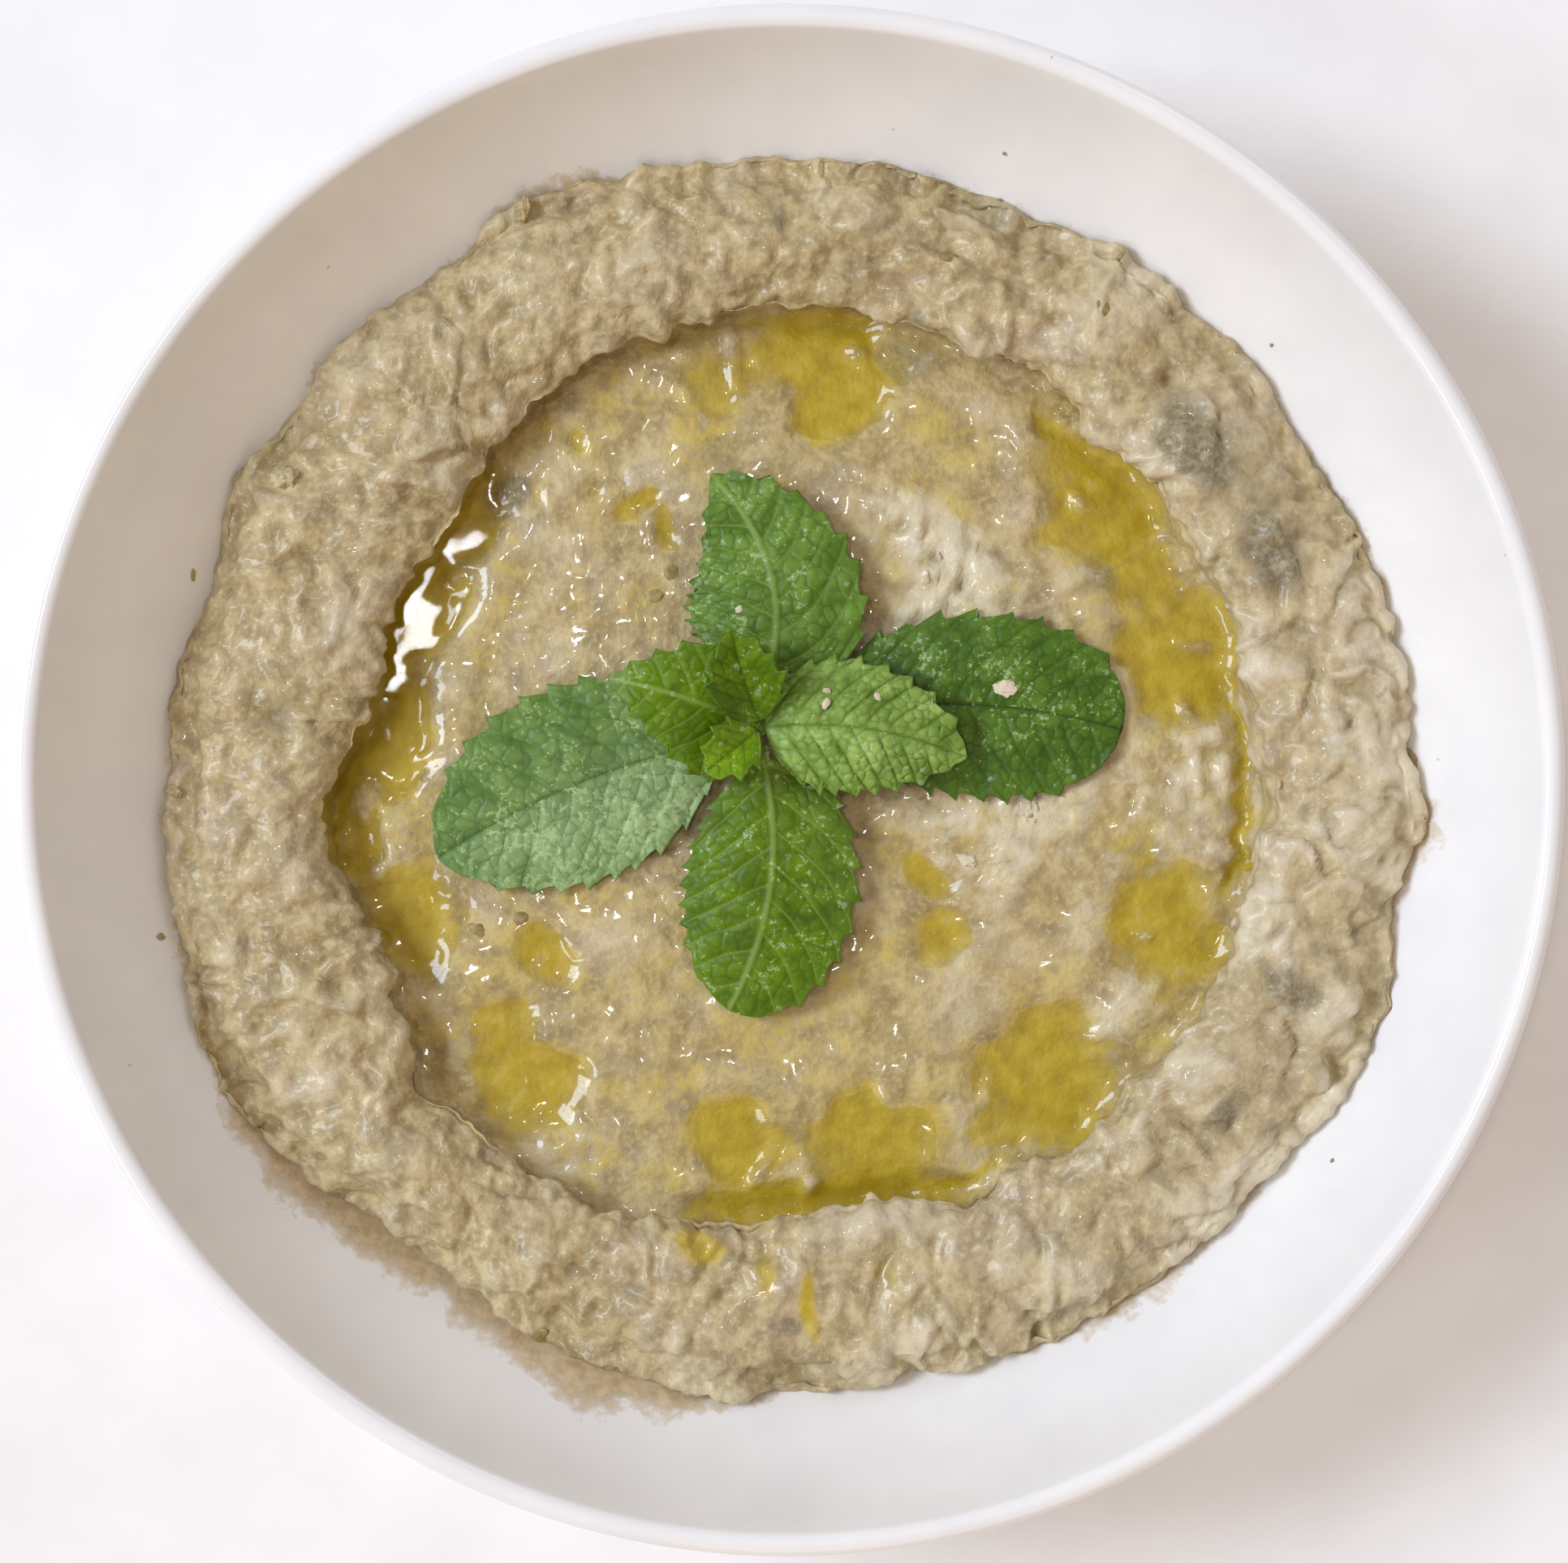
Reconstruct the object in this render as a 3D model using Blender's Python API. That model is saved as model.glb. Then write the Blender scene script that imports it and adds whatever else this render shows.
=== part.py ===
"""Baba ganoush in a shallow coupe bowl, with pools of olive oil and a sprig of mint.

Metres, +Z up. The origin is the centre of the bowl's foot, on the table. The dip is one mass: a lumpy
raised ring round a shallow well that a spoon has pressed. Oil lies in beds round the well's edge, and the
sprig's leaf pairs cross each other on the middle of the well.
"""

import math

import bmesh
import bpy
from mathutils import Vector, noise

MM = 0.001
GAP = 0.3 * MM  # left between pieces that touch

# Bowl: a flat floor, then one arc up to a rounded lip, on a low foot ring.
RIM_RADIUS = 100 * MM
BOWL_HEIGHT = 46 * MM
LIP = 3.4 * MM  # thickness at the lip
WALL = 4.2 * MM  # thickness where the wall leaves the floor
FLOOR_RADIUS = 40 * MM
FLOOR_Z = 7 * MM
FOOT_RADIUS = 46 * MM
FOOT_WIDTH = 5 * MM
FOOT_HEIGHT = 3 * MM
FOOT_EDGE = 0.5 * MM  # chamfer on the foot's edges
TURNS = 48  # segments round the bowl and the dip
ARC_STEPS = 8  # segments up the wall
LIP_STEPS = 5

# Dip
RING_OUTER = 82.3 * MM
RING_INNER = 63.6 * MM
CREST_Z = 31 * MM
WELL_EDGE_Z = 21.8 * MM
WELL_RISE = 1.3 * MM  # how much higher the well is in the middle
LUMP = 1.7 * MM
LUMP_SIZE = 9 * MM
# Where the ring bulges into the well: (degrees, depth, half width in degrees).
INNER_BULGES = (
    (10, 2.2 * MM, 6),
    (31, 2.3 * MM, 6),
    (46, 2.2 * MM, 5),
    (149, 5.2 * MM, 17),
    (171, 4.6 * MM, 6),
    (204, 3.0 * MM, 8),
    (277, 5.2 * MM, 17),
    (302, 2.4 * MM, 5),
    (320, 1.6 * MM, 10),
)
# Where the ring's outer foot is drawn in or pushed out.
OUTER_BULGES = (
    (112, 1.8 * MM, 9),
    (207, 2.4 * MM, 9),
    (233, -3.4 * MM, 11),
    (280, -1.2 * MM, 12),
    (336, 2.4 * MM, 7),
)

# Olive oil: (name, first and last degree, radius that it reaches in to).
OIL_LEVEL = 22.1 * MM
OIL_DEPTH = 1.5 * MM
OIL_POOLS = (
    ("oil_pool_east", 10, 26, 45 * MM),
    ("oil_pool_north_east", 29, 52, 51 * MM),
    ("oil_pool_north", 77, 98, 47 * MM),
    ("oil_pool_north_west", 140, 163, 50 * MM),
    ("oil_pool_west", 172, 194, 51 * MM),
    ("oil_pool_south_west", 198, 213, 46 * MM),
    ("oil_pool_south_south_west", 220, 237, 46 * MM),
    ("oil_pool_south", 258, 292, 44 * MM),
    ("oil_pool_south_east", 299, 320, 44 * MM),
    ("oil_pool_east_south_east", 331, 347, 46 * MM),
)
POOL_SIDES = 20
POOL_SQUARE = 0.8  # 1 makes an oval pool, less a squarer one

# Mint
SPRIG = Vector((-3.5, 7.0, 0)) * MM  # the sprig's axis on the well
STEM_RADIUS = 1.3 * MM
STEM_TOP = 7.0 * MM  # above the well
LEAF_THICKNESS = 0.5 * MM
PETIOLE_WIDTH = 1.5 * MM
TOOTH = 0.8 * MM
LEAF_COLUMNS = 4
FULLEST = 0.85  # under 1 puts a blade's fullest width nearer its base
BLUNT = 0.62  # how round a blade's ends are: 0.5 is an oval
# Each leaf: its tip seen from the sprig's axis, where its petiole starts and its blade starts along that
# line, the blade's width, how far the midrib bows to the left of the line, how high its base, middle and
# tip are over the well, how far its edges stand above (+) or hang below (-) the midrib, and its teeth.
LEAVES = {
    "mint_leaf_left": dict(
        tip=(-43.5, -17), start=2.2, blade=4, width=25.5, bow=-1.8,
        lift=(1.6, 2.2, 1.3), edges=-0.6, teeth=9,
    ),
    "mint_leaf_right": dict(
        tip=(48, -0.5), start=2.2, blade=8, width=24, bow=2.8,
        lift=(1.6, 2.2, 1.3), edges=-0.6, teeth=8,
    ),
    "mint_leaf_top": dict(
        tip=(-6.8, 33.8), start=2.4, blade=3, width=22, bow=-4.5,
        lift=(4.2, 4.8, 3.4), edges=-1.0, teeth=9,
    ),
    "mint_leaf_bottom": dict(
        tip=(-4.4, -38), start=2.4, blade=3, width=22, bow=3.2,
        lift=(4.2, 4.9, 3.4), edges=-1.0, teeth=9,
    ),
    "mint_young_right": dict(
        tip=(27, -4), start=2.2, blade=1, width=15.5, bow=1.6,
        lift=(6.2, 8.6, 5.4), edges=-1.2, teeth=7,
    ),
    "mint_young_left": dict(
        tip=(-20, 6.3), start=2.2, blade=1, width=15, bow=-0.6,
        lift=(6.4, 9.6, 8.6), edges=0.8, teeth=6,
    ),
    "mint_bud_top": dict(
        tip=(-4.0, 12.3), start=1.8, blade=0.8, width=8, bow=0,
        lift=(8.4, 11.8, 14.0), edges=2.4, teeth=4,
    ),
    "mint_bud_bottom": dict(
        tip=(-5.6, -6.6), start=1.8, blade=0.8, width=5.5, bow=0,
        lift=(8.4, 11.0, 12.0), edges=1.6, teeth=3,
    ),
}

# The wall's arc: the lip's own centre fixes its radius and how far it turns.
LIP_RUN = RIM_RADIUS - LIP / 2 - FLOOR_RADIUS
LIP_RISE = BOWL_HEIGHT - LIP / 2 - FLOOR_Z
ARC_RADIUS = (LIP_RUN**2 + LIP_RISE**2 - (LIP / 2) ** 2) / (2 * (LIP_RISE + LIP / 2))
ARC_TURN = math.atan2(LIP_RUN, ARC_RADIUS - LIP_RISE)
ARC_CENTRE_Z = FLOOR_Z + ARC_RADIUS


def clear_scene():
    for obj in list(bpy.data.objects):
        bpy.data.objects.remove(obj)


def material(name, colour, roughness):
    """A Principled material of one colour, given as linear red, green and blue."""
    made = bpy.data.materials.new(name)
    made.use_nodes = True
    shader = made.node_tree.nodes["Principled BSDF"]
    shader.inputs["Base Color"].default_value = (*colour, 1)
    shader.inputs["Roughness"].default_value = roughness
    shader.inputs["Metallic"].default_value = 0
    return made


def add_object(name, bm, finish):
    """Makes the bmesh an object of that name, with smooth faces and its normals outwards."""
    bmesh.ops.recalc_face_normals(bm, faces=bm.faces[:])
    mesh = bpy.data.meshes.new(name)
    bm.to_mesh(mesh)
    bm.free()
    mesh.shade_smooth()
    mesh.set_sharp_from_angle(angle=math.radians(40))
    obj = bpy.data.objects.new(name, mesh)
    obj.data.materials.append(finish)
    bpy.context.scene.collection.objects.link(obj)
    return obj


def spun(profile):
    """A bmesh of (radius, height) points turned once round Z. Each vertex keeps its place in the profile."""
    bm = bmesh.new()
    row = bm.verts.layers.int.new("row")
    verts = []
    for index, (radius, height) in enumerate(profile):
        vert = bm.verts.new((radius, 0, height))
        vert[row] = index
        verts.append(vert)
    edges = [bm.edges.new(pair) for pair in zip(verts, verts[1:])]
    bmesh.ops.spin(
        bm, geom=verts + edges, axis=(0, 0, 1), cent=(0, 0, 0), angle=math.tau, steps=TURNS, use_merge=True
    )
    bmesh.ops.remove_doubles(bm, verts=bm.verts[:], dist=1e-6)
    return bm


def on_arc(turn, radius):
    """The point that far round the wall's arc, at that radius from the arc's centre."""
    return (FLOOR_RADIUS + radius * math.sin(turn), ARC_CENTRE_Z - radius * math.cos(turn))


def wall_z(radius, clearance=0.0):
    """Height of the bowl's inside at that radius from the axis."""
    if radius <= FLOOR_RADIUS:
        return FLOOR_Z + clearance
    arc = ARC_RADIUS - clearance
    return ARC_CENTRE_Z - math.sqrt(arc**2 - (radius - FLOOR_RADIUS) ** 2)


def arc_turns():
    return [ARC_TURN * step / ARC_STEPS for step in range(ARC_STEPS + 1)]


def bowl_profile():
    inside = [(0, FLOOR_Z)] + [on_arc(turn, ARC_RADIUS) for turn in arc_turns()]
    lip_centre = Vector(on_arc(ARC_TURN, ARC_RADIUS + LIP / 2))
    lip = []
    for step in range(1, LIP_STEPS):
        angle = math.pi / 2 + ARC_TURN - math.pi * step / LIP_STEPS
        lip.append(tuple(lip_centre + Vector((math.cos(angle), math.sin(angle))) * LIP / 2))
    outside = []
    for turn in reversed(arc_turns()[1:]):
        thickness = WALL + (LIP - WALL) * turn / ARC_TURN
        outside.append(on_arc(turn, ARC_RADIUS + thickness))
    inner_foot = FOOT_RADIUS - FOOT_WIDTH
    foot = [
        (FOOT_RADIUS, FOOT_HEIGHT),
        (FOOT_RADIUS, FOOT_EDGE),
        (FOOT_RADIUS - FOOT_EDGE, 0),
        (inner_foot + FOOT_EDGE, 0),
        (inner_foot, FOOT_EDGE),
        (inner_foot, FOOT_HEIGHT),
        (0, FOOT_HEIGHT),
    ]
    return inside + lip + outside + foot


def bump(degrees, centre, half_width):
    """A smooth bump of height 1 at centre that has faded out at twice half_width."""
    away = abs((degrees - centre + 180) % 360 - 180) / half_width
    return math.cos(away * math.pi / 4) ** 2 if away < 2 else 0.0


def inner_edge(degrees):
    return RING_INNER - sum(depth * bump(degrees, at, wide) for at, depth, wide in INNER_BULGES)


def outer_edge(degrees):
    return RING_OUTER + sum(depth * bump(degrees, at, wide) for at, depth, wide in OUTER_BULGES)


def well_z(x, y):
    """Height of the smooth well, without its lumps."""
    return WELL_EDGE_Z + WELL_RISE * max(0.0, 1 - (x * x + y * y) / RING_INNER**2)


def dip_rows(degrees):
    """The dip's section at that angle, from the well's middle over the ring and back under it, with how
    much of the lumps each point takes."""
    inner, outer = inner_edge(degrees), outer_edge(degrees)
    well = [(share * inner, well_z(share * inner, 0), 0.2) for share in (0, 0.2, 0.38, 0.54, 0.68, 0.8, 0.91)]
    ring = [
        (inner, WELL_EDGE_Z, 0.2),
        (inner + 1.0 * MM, CREST_Z - 4.5 * MM, 0.7),
        (inner + 3.6 * MM, CREST_Z - 1.2 * MM, 1),
        (inner + 7.6 * MM, CREST_Z, 1),
        (outer - 6.4 * MM, CREST_Z - 0.6 * MM, 1),
        (outer - 2.6 * MM, CREST_Z - 3.0 * MM, 0.8),
        (outer - 0.4 * MM, CREST_Z - 5.8 * MM, 0.3),
        (outer, wall_z(outer, GAP), 0),
    ]
    under = []
    for turn in reversed(arc_turns()):
        radius, height = on_arc(turn, ARC_RADIUS - GAP)
        if radius < RING_INNER:
            under.append((radius, height, 0))
    return well + ring + under + [(0, FLOOR_Z + GAP, 0)]


def make_dip(finish):
    bm = spun([(radius, height) for radius, height, _ in dip_rows(0)])
    row = bm.verts.layers.int["row"]
    for vert in bm.verts:
        degrees = math.degrees(math.atan2(vert.co.y, vert.co.x)) % 360
        radius, height, lumpy = dip_rows(degrees)[vert[row]]
        around = Vector((math.cos(math.radians(degrees)), math.sin(math.radians(degrees)), 0))
        vert.co = around * radius
        vert.co.z = height + lumpy * LUMP * noise.noise(vert.co / LUMP_SIZE)
    return add_object("baba_ganoush", bm, finish)


def squared(value):
    return math.copysign(abs(value) ** POOL_SQUARE, value)


def pool_loop(first, last, reach, grow, shrink):
    """The outline of an oil pool, from reach out to the ring's inner edge, grown and then shrunk by that much."""
    middle, half = (first + last) / 2, (last - first) / 2
    points = []
    for side in range(POOL_SIDES):
        angle = math.tau * side / POOL_SIDES
        edge = inner_edge(middle) - 0.8 * MM
        wide = math.radians(half) * edge + grow - shrink
        deep = (edge - reach) / 2 + grow - shrink
        along = wide * squared(math.cos(angle))
        degrees = middle + math.degrees(along / edge)
        out = inner_edge(degrees) - 0.8 * MM - (edge - reach) / 2 + deep * squared(math.sin(angle))
        points.append(Vector((out * math.cos(math.radians(degrees)), out * math.sin(math.radians(degrees)), 0)))
    return points


def add_pool(bm, first, last, reach, grow, top):
    """A shallow closed tray with sloping sides, in the bmesh. Grown, it is the bed that the oil lies in."""
    layers = [
        (OIL_LEVEL, 0),
        (OIL_LEVEL - OIL_DEPTH * 0.5, 0.4 * MM),
        (OIL_LEVEL - OIL_DEPTH - grow, 2.0 * MM),
    ]
    if top > OIL_LEVEL:
        layers.insert(0, (top, 0))
    loops = []
    for height, shrink in layers:
        points = pool_loop(first, last, reach, grow, shrink)
        verts = [bm.verts.new((point.x, point.y, height)) for point in points]
        loops.append([bm.edges.new(pair) for pair in zip(verts, verts[1:] + verts[:1])])
    for upper, lower in zip(loops, loops[1:]):
        bmesh.ops.bridge_loops(bm, edges=upper + lower)
    bmesh.ops.holes_fill(bm, edges=loops[0] + loops[-1], sides=POOL_SIDES)


def make_oil(dip, finish):
    """The pools, and the beds cut for them into the dip."""
    beds = bmesh.new()
    for name, first, last, reach in OIL_POOLS:
        pool = bmesh.new()
        add_pool(pool, first, last, reach, 0, OIL_LEVEL)
        add_object(name, pool, finish)
        add_pool(beds, first, last, reach, GAP, CREST_Z - 5 * MM)
    cutter = add_object("oil_beds", beds, finish)
    cutter.hide_render = True
    cutter.display_type = "WIRE"
    cut = dip.modifiers.new("oil beds", "BOOLEAN")
    cut.operation = "DIFFERENCE"
    cut.object = cutter


def half_width(leaf, blade):
    """Half the width of a leaf, without its teeth, at that share of the way along its blade."""
    petiole = PETIOLE_WIDTH / 2 * (1 - 0.6 * max(blade, 0))
    if not 0 < blade < 1:
        return petiole
    along = blade**FULLEST
    return max(petiole, leaf["width"] * MM / 2 * (4 * along * (1 - along)) ** BLUNT)


def leaf_point(leaf, row, across):
    """A point of the leaf's middle surface. Rows run from the petiole's start to the tip, every second one
    after the first at a tooth, and across runs from -1 to 1."""
    tip = Vector((*leaf["tip"], 0)) * MM
    along = tip.normalized()
    aside = Vector((-along.y, along.x, 0))
    start = leaf["start"] * MM
    length = tip.length - start
    blade_start = leaf["blade"] * MM / length
    blade = max(0, row - 1) / (2 * leaf["teeth"])
    share = blade_start + (1 - blade_start) * blade if row else 0
    tooth = TOOTH * (row % 2 == 0) * (1 < row < 2 * leaf["teeth"])
    spread = across * (half_width(leaf, blade if row > 1 else 0) + tooth)
    bow = leaf["bow"] * MM * 4 * share * (1 - share)
    slope = leaf["bow"] * MM * 4 * (1 - 2 * share) / length
    across_way = (aside - along * slope).normalized()
    run = start + length * share + tooth * across**2
    point = SPRIG + along * run + aside * bow + across_way * spread
    base, middle, end = leaf["lift"]
    control = 2 * middle - (base + end) / 2
    lift = base * (1 - share) ** 2 + control * 2 * share * (1 - share) + end * share**2
    edges = leaf["edges"] * (spread / (leaf["width"] * MM / 2)) ** 2
    point.z = well_z(point.x, point.y) + (lift + edges) * MM
    return point


def make_leaf(name, leaf, finish):
    bm = bmesh.new()
    rows = 2 * leaf["teeth"] + 1
    bmesh.ops.create_grid(bm, x_segments=LEAF_COLUMNS, y_segments=rows, size=1)
    for vert in bm.verts:
        vert.co = leaf_point(leaf, round((vert.co.y + 1) / 2 * rows), vert.co.x)
    obj = add_object(name, bm, finish)
    thick = obj.modifiers.new("thickness", "SOLIDIFY")
    thick.thickness = LEAF_THICKNESS
    thick.offset = 0
    return obj


def make_stem(finish):
    """The sprig's short stem, standing on the well under the leaves."""
    bm = bmesh.new()
    foot = well_z(SPRIG.x, SPRIG.y) + LUMP * 0.2 + GAP
    bmesh.ops.create_cone(
        bm, cap_ends=True, segments=10, radius1=STEM_RADIUS, radius2=STEM_RADIUS * 0.8, depth=STEM_TOP
    )
    bmesh.ops.translate(bm, verts=bm.verts[:], vec=SPRIG + Vector((0, 0, foot + STEM_TOP / 2)))
    return add_object("mint_stem", bm, finish)


def main():
    clear_scene()
    glaze = material("white glazed porcelain", (0.80, 0.80, 0.78), 0.12)
    dip_finish = material("mashed aubergine and tahini", (0.50, 0.42, 0.28), 0.45)
    oil_finish = material("olive oil", (0.48, 0.36, 0.03), 0.05)
    mint_finish = material("mint leaf", (0.06, 0.19, 0.03), 0.45)
    young_finish = material("young mint leaf", (0.20, 0.34, 0.03), 0.45)
    add_object("bowl", spun(bowl_profile()), glaze)
    dip = make_dip(dip_finish)
    make_oil(dip, oil_finish)
    make_stem(young_finish)
    for name, leaf in LEAVES.items():
        make_leaf(name, leaf, mint_finish if "leaf" in name else young_finish)


main()
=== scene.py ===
# %% [markdown]
# # Baba ganoush with olive oil and mint
# Smoked aubergine mashed with tahini, spooned into a white coupe bowl. The back of the spoon has pressed a
# shallow well and pushed a lumpy ring up round it. Olive oil lies in the well's edge, and a sprig of mint
# tops it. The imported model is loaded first: every piece here takes its place from it.
# %% Load the frame
import functools
import math
import random

import bmesh
import bpy
import numpy as np
from mathutils import Matrix, Vector, bvhtree, noise


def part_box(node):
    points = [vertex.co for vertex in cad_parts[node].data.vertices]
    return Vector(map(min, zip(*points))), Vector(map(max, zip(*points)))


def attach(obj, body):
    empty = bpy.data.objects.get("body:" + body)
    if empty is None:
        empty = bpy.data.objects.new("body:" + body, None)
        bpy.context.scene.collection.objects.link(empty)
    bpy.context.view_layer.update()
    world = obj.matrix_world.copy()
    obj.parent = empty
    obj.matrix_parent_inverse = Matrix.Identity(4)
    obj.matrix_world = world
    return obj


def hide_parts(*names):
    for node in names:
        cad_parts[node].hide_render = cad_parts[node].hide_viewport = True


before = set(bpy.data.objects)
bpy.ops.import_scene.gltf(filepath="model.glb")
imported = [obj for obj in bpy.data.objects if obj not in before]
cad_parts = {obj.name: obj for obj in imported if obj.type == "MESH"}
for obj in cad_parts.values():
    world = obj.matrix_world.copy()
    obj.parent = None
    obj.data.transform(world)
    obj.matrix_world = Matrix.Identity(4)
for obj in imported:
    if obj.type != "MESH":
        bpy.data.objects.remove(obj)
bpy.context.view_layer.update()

MM = 0.001
random.seed(7)


# %% [markdown]
# ## Small helpers
# A colour is written as the hex value a colour picker shows, and Cycles wants it linear, so one function
# turns it. Another adds a shader node with its settings and links, which keeps each material readable as a
# list of what feeds what. The others hold steps that many pieces share: closing a sheet, keeping a map on a
# mesh's points for its material, and turning a bmesh into a piece.
# %% Colours and shader nodes
def linear(hex_colour):
    """The linear red, green, blue and alpha of an sRGB hex colour."""
    channels = [int(hex_colour[start : start + 2], 16) / 255 for start in (1, 3, 5)]
    return (*[c / 12.92 if c <= 0.04045 else ((c + 0.055) / 1.055) ** 2.4 for c in channels], 1.0)


def add(tree, kind, links=None, stops=(), **settings):
    """Adds a shader node. links gives its sockets values, other nodes' outputs, or other nodes, which give
    their first output in use. stops fill a ramp."""
    made = tree.nodes.new("ShaderNode" + kind)
    for name, value in settings.items():
        setattr(made, name, value)
    for socket, value in (links or {}).items():
        if isinstance(value, bpy.types.Node):
            value = next(output for output in value.outputs if output.enabled)
        if isinstance(value, bpy.types.NodeSocket):
            tree.links.new(value, made.inputs[socket])
        else:
            made.inputs[socket].default_value = linear(value) if isinstance(value, str) else value
    for index, (place, value) in enumerate(stops):
        if index >= len(made.color_ramp.elements):
            made.color_ramp.elements.new(place)
        stop = made.color_ramp.elements[index]
        stop.position = place
        stop.color = linear(value) if isinstance(value, str) else (value,) * 3 + (1,)
    return made


def new_material(name):
    """An empty material, the function that adds nodes to it, and the place on the object as its first output."""
    made = bpy.data.materials.new(name)
    made.use_nodes = True
    made.node_tree.nodes.clear()
    node = functools.partial(add, made.node_tree)
    return made, node, node("TexCoord").outputs["Object"]


# %% Meshes and pieces
def close_below(bm, depth):
    """Closes a sheet with an underside, at the height that depth gives for each point."""
    for vert in made_verts(bmesh.ops.extrude_face_region(bm, geom=bm.faces[:])):
        vert.co.z = depth(vert.co)
    bmesh.ops.recalc_face_normals(bm, faces=bm.faces[:])


def made_verts(grown):
    """The points that an extrusion made."""
    return [item for item in grown["geom"] if isinstance(item, bmesh.types.BMVert)]


def keep_maps(bm, **maps):
    """Keeps maps, each a list of one value for each point, by name for the materials to read."""
    for name, values in maps.items():
        layer = bm.verts.layers.float.new(name)
        for vert, value in zip(bm.verts, values):
            vert[layer] = float(value)


def to_mesh(bm, name):
    """Turns a bmesh into a mesh and lets go of it."""
    mesh = bpy.data.meshes.new(name)
    bm.to_mesh(mesh)
    bm.free()
    return mesh


def join(bm, part):
    """Moves the bmesh part into bm."""
    mesh = to_mesh(part, "part")
    bm.from_mesh(mesh)
    bpy.data.meshes.remove(mesh)


def put(name, data):
    """Puts an object with that data in the scene, at the origin."""
    made = bpy.data.objects.new(name, data)
    bpy.context.scene.collection.objects.link(made)
    return made


def add_piece(name, bm, finish, replaces=None, sharp=None):
    """Turns a bmesh into a smooth-shaded piece that rides with the bowl, and hides the imported part it replaces, if
    any.
    """
    piece = put(name, to_mesh(bm, name))
    piece.data.shade_smooth()
    if sharp:
        piece.data.set_sharp_from_angle(angle=math.radians(sharp))
    piece.data.materials.append(finish)
    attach(piece, "root")
    if replaces:
        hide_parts(replaces)
    print(f"{name}: {len(piece.data.polygons)} faces")
    return piece


# %% [markdown]
# ## Camera and light
# The bowl is seen from straight above, from about arm's length, and it fills the picture. A window up and to
# the left gives broad cool light, and its next pane a little more. A far window and the room add weak cool and
# warm light from either side. A small ceiling lamp is too weak to light anything: it is there for its mirror
# images in the oil.
# %% Camera
_, RIM_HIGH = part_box("bowl")
RIM_RADIUS = RIM_HIGH.x
RIM_Z = RIM_HIGH.z
VIEW_DISTANCE = 0.50  # above the rim
MARGIN = 1.0065  # the picture's half width over the rim's radius
OFF_CENTRE = (-0.0006, -0.0002)  # where the camera stands, in metres from the bowl's axis

camera_data = bpy.data.cameras.new("camera")
camera_data.sensor_width = 36.0
camera_data.lens = camera_data.sensor_width / 2 * VIEW_DISTANCE / (RIM_RADIUS * MARGIN)
camera_data.clip_start = 0.01
camera = put("camera", camera_data)
camera.location = (*OFF_CENTRE, RIM_Z + VIEW_DISTANCE)
bpy.context.scene.camera = camera
print(f"lens {camera_data.lens:.1f} mm")


# %% Lamps, sky and floor
LAMP_AIM = Vector((0, 0, 0.02))
# Each lamp: its name, its place and width in metres, its power in watts, and its colour.
LAMPS = (
    ("window", (-2.5, 0.62, 2.7), 1.3, 95.0, "#DCEAFF"),
    ("next_pane", (-1.7, -0.9, 1.9), 0.42, 8.5, "#DCEAFF"),
    ("far_window", (0.9, 1.3, 0.8), 0.8, 4.2, "#C6DEFF"),
    ("room", (0.2, -1.5, 0.8), 0.9, 2.7, "#FFD6B0"),
    ("ceiling_lamp", (-0.205, 0.088, 1.55), 0.065, 2.0, "#FFFFFF"),
)
for name, place, size, power, colour in LAMPS:
    lamp_data = bpy.data.lights.new(name, "AREA")
    lamp_data.size = size
    lamp_data.energy = power
    lamp_data.color = linear(colour)[:3]
    lamp = put(name, lamp_data)
    lamp.location = place
    lamp.rotation_euler = (LAMP_AIM - lamp.location).to_track_quat("-Z", "Y").to_euler()

world = bpy.data.worlds.new("studio")
world.use_nodes = True
sky = world.node_tree.nodes["Background"]
sky.inputs["Color"].default_value = linear("#FDE6D3")
sky.inputs["Strength"].default_value = 0.43
bpy.context.scene.world = world
bpy.context.scene.view_settings.view_transform = "Standard"

paper, node, place = new_material("matt white studio paper")
fibre = node("TexNoise", {"Vector": place, "Scale": 60.0, "Detail": 4.0})
tint = node("ValToRGB", {0: fibre}, stops=((0.3, "#F4F3F1"), (0.7, "#FAF9F7")))
matt = node("BsdfPrincipled", {"Base Color": tint, "Roughness": 0.85})
node("OutputMaterial", {"Surface": matt})
bm = bmesh.new()
bmesh.ops.create_grid(bm, x_segments=1, y_segments=1, size=2.5)
floor = put("floor", to_mesh(bm, "floor"))
floor.data.materials.append(paper)


# %% [markdown]
# ## The bowl
# A coupe bowl is jiggered: a profile tool shapes the clay as it turns, so every section is the same. That is
# what a spin does with one profile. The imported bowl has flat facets, so this piece repeats its profile with
# finer steps: a flat floor, one arc up to a rounded lip, and a foot ring.
# %% The bowl's profile
LIP = 3.4 * MM
WALL = 4.2 * MM
FLOOR_RADIUS = 40 * MM
FLOOR_Z = 7 * MM
FOOT_RADIUS = 46 * MM
FOOT_WIDTH = 5 * MM
FOOT_HEIGHT = 3 * MM
LIP_RUN = RIM_RADIUS - LIP / 2 - FLOOR_RADIUS
LIP_RISE = RIM_Z - LIP / 2 - FLOOR_Z
ARC_RADIUS = (LIP_RUN**2 + LIP_RISE**2 - (LIP / 2) ** 2) / (2 * (LIP_RISE + LIP / 2))
ARC_TURN = math.atan2(LIP_RUN, ARC_RADIUS - LIP_RISE)
ARC_CENTRE_Z = FLOOR_Z + ARC_RADIUS
WALL_STEPS = 24
FOOT_STEP = 4  # the wall's step where its outside meets the foot ring
LIP_STEPS = 14
TURNS = 180


def on_arc(turn, radius):
    """The point that far round the wall's arc, at that radius from the arc's centre."""
    return Vector((FLOOR_RADIUS + radius * math.sin(turn), 0, ARC_CENTRE_Z - radius * math.cos(turn)))


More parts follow.
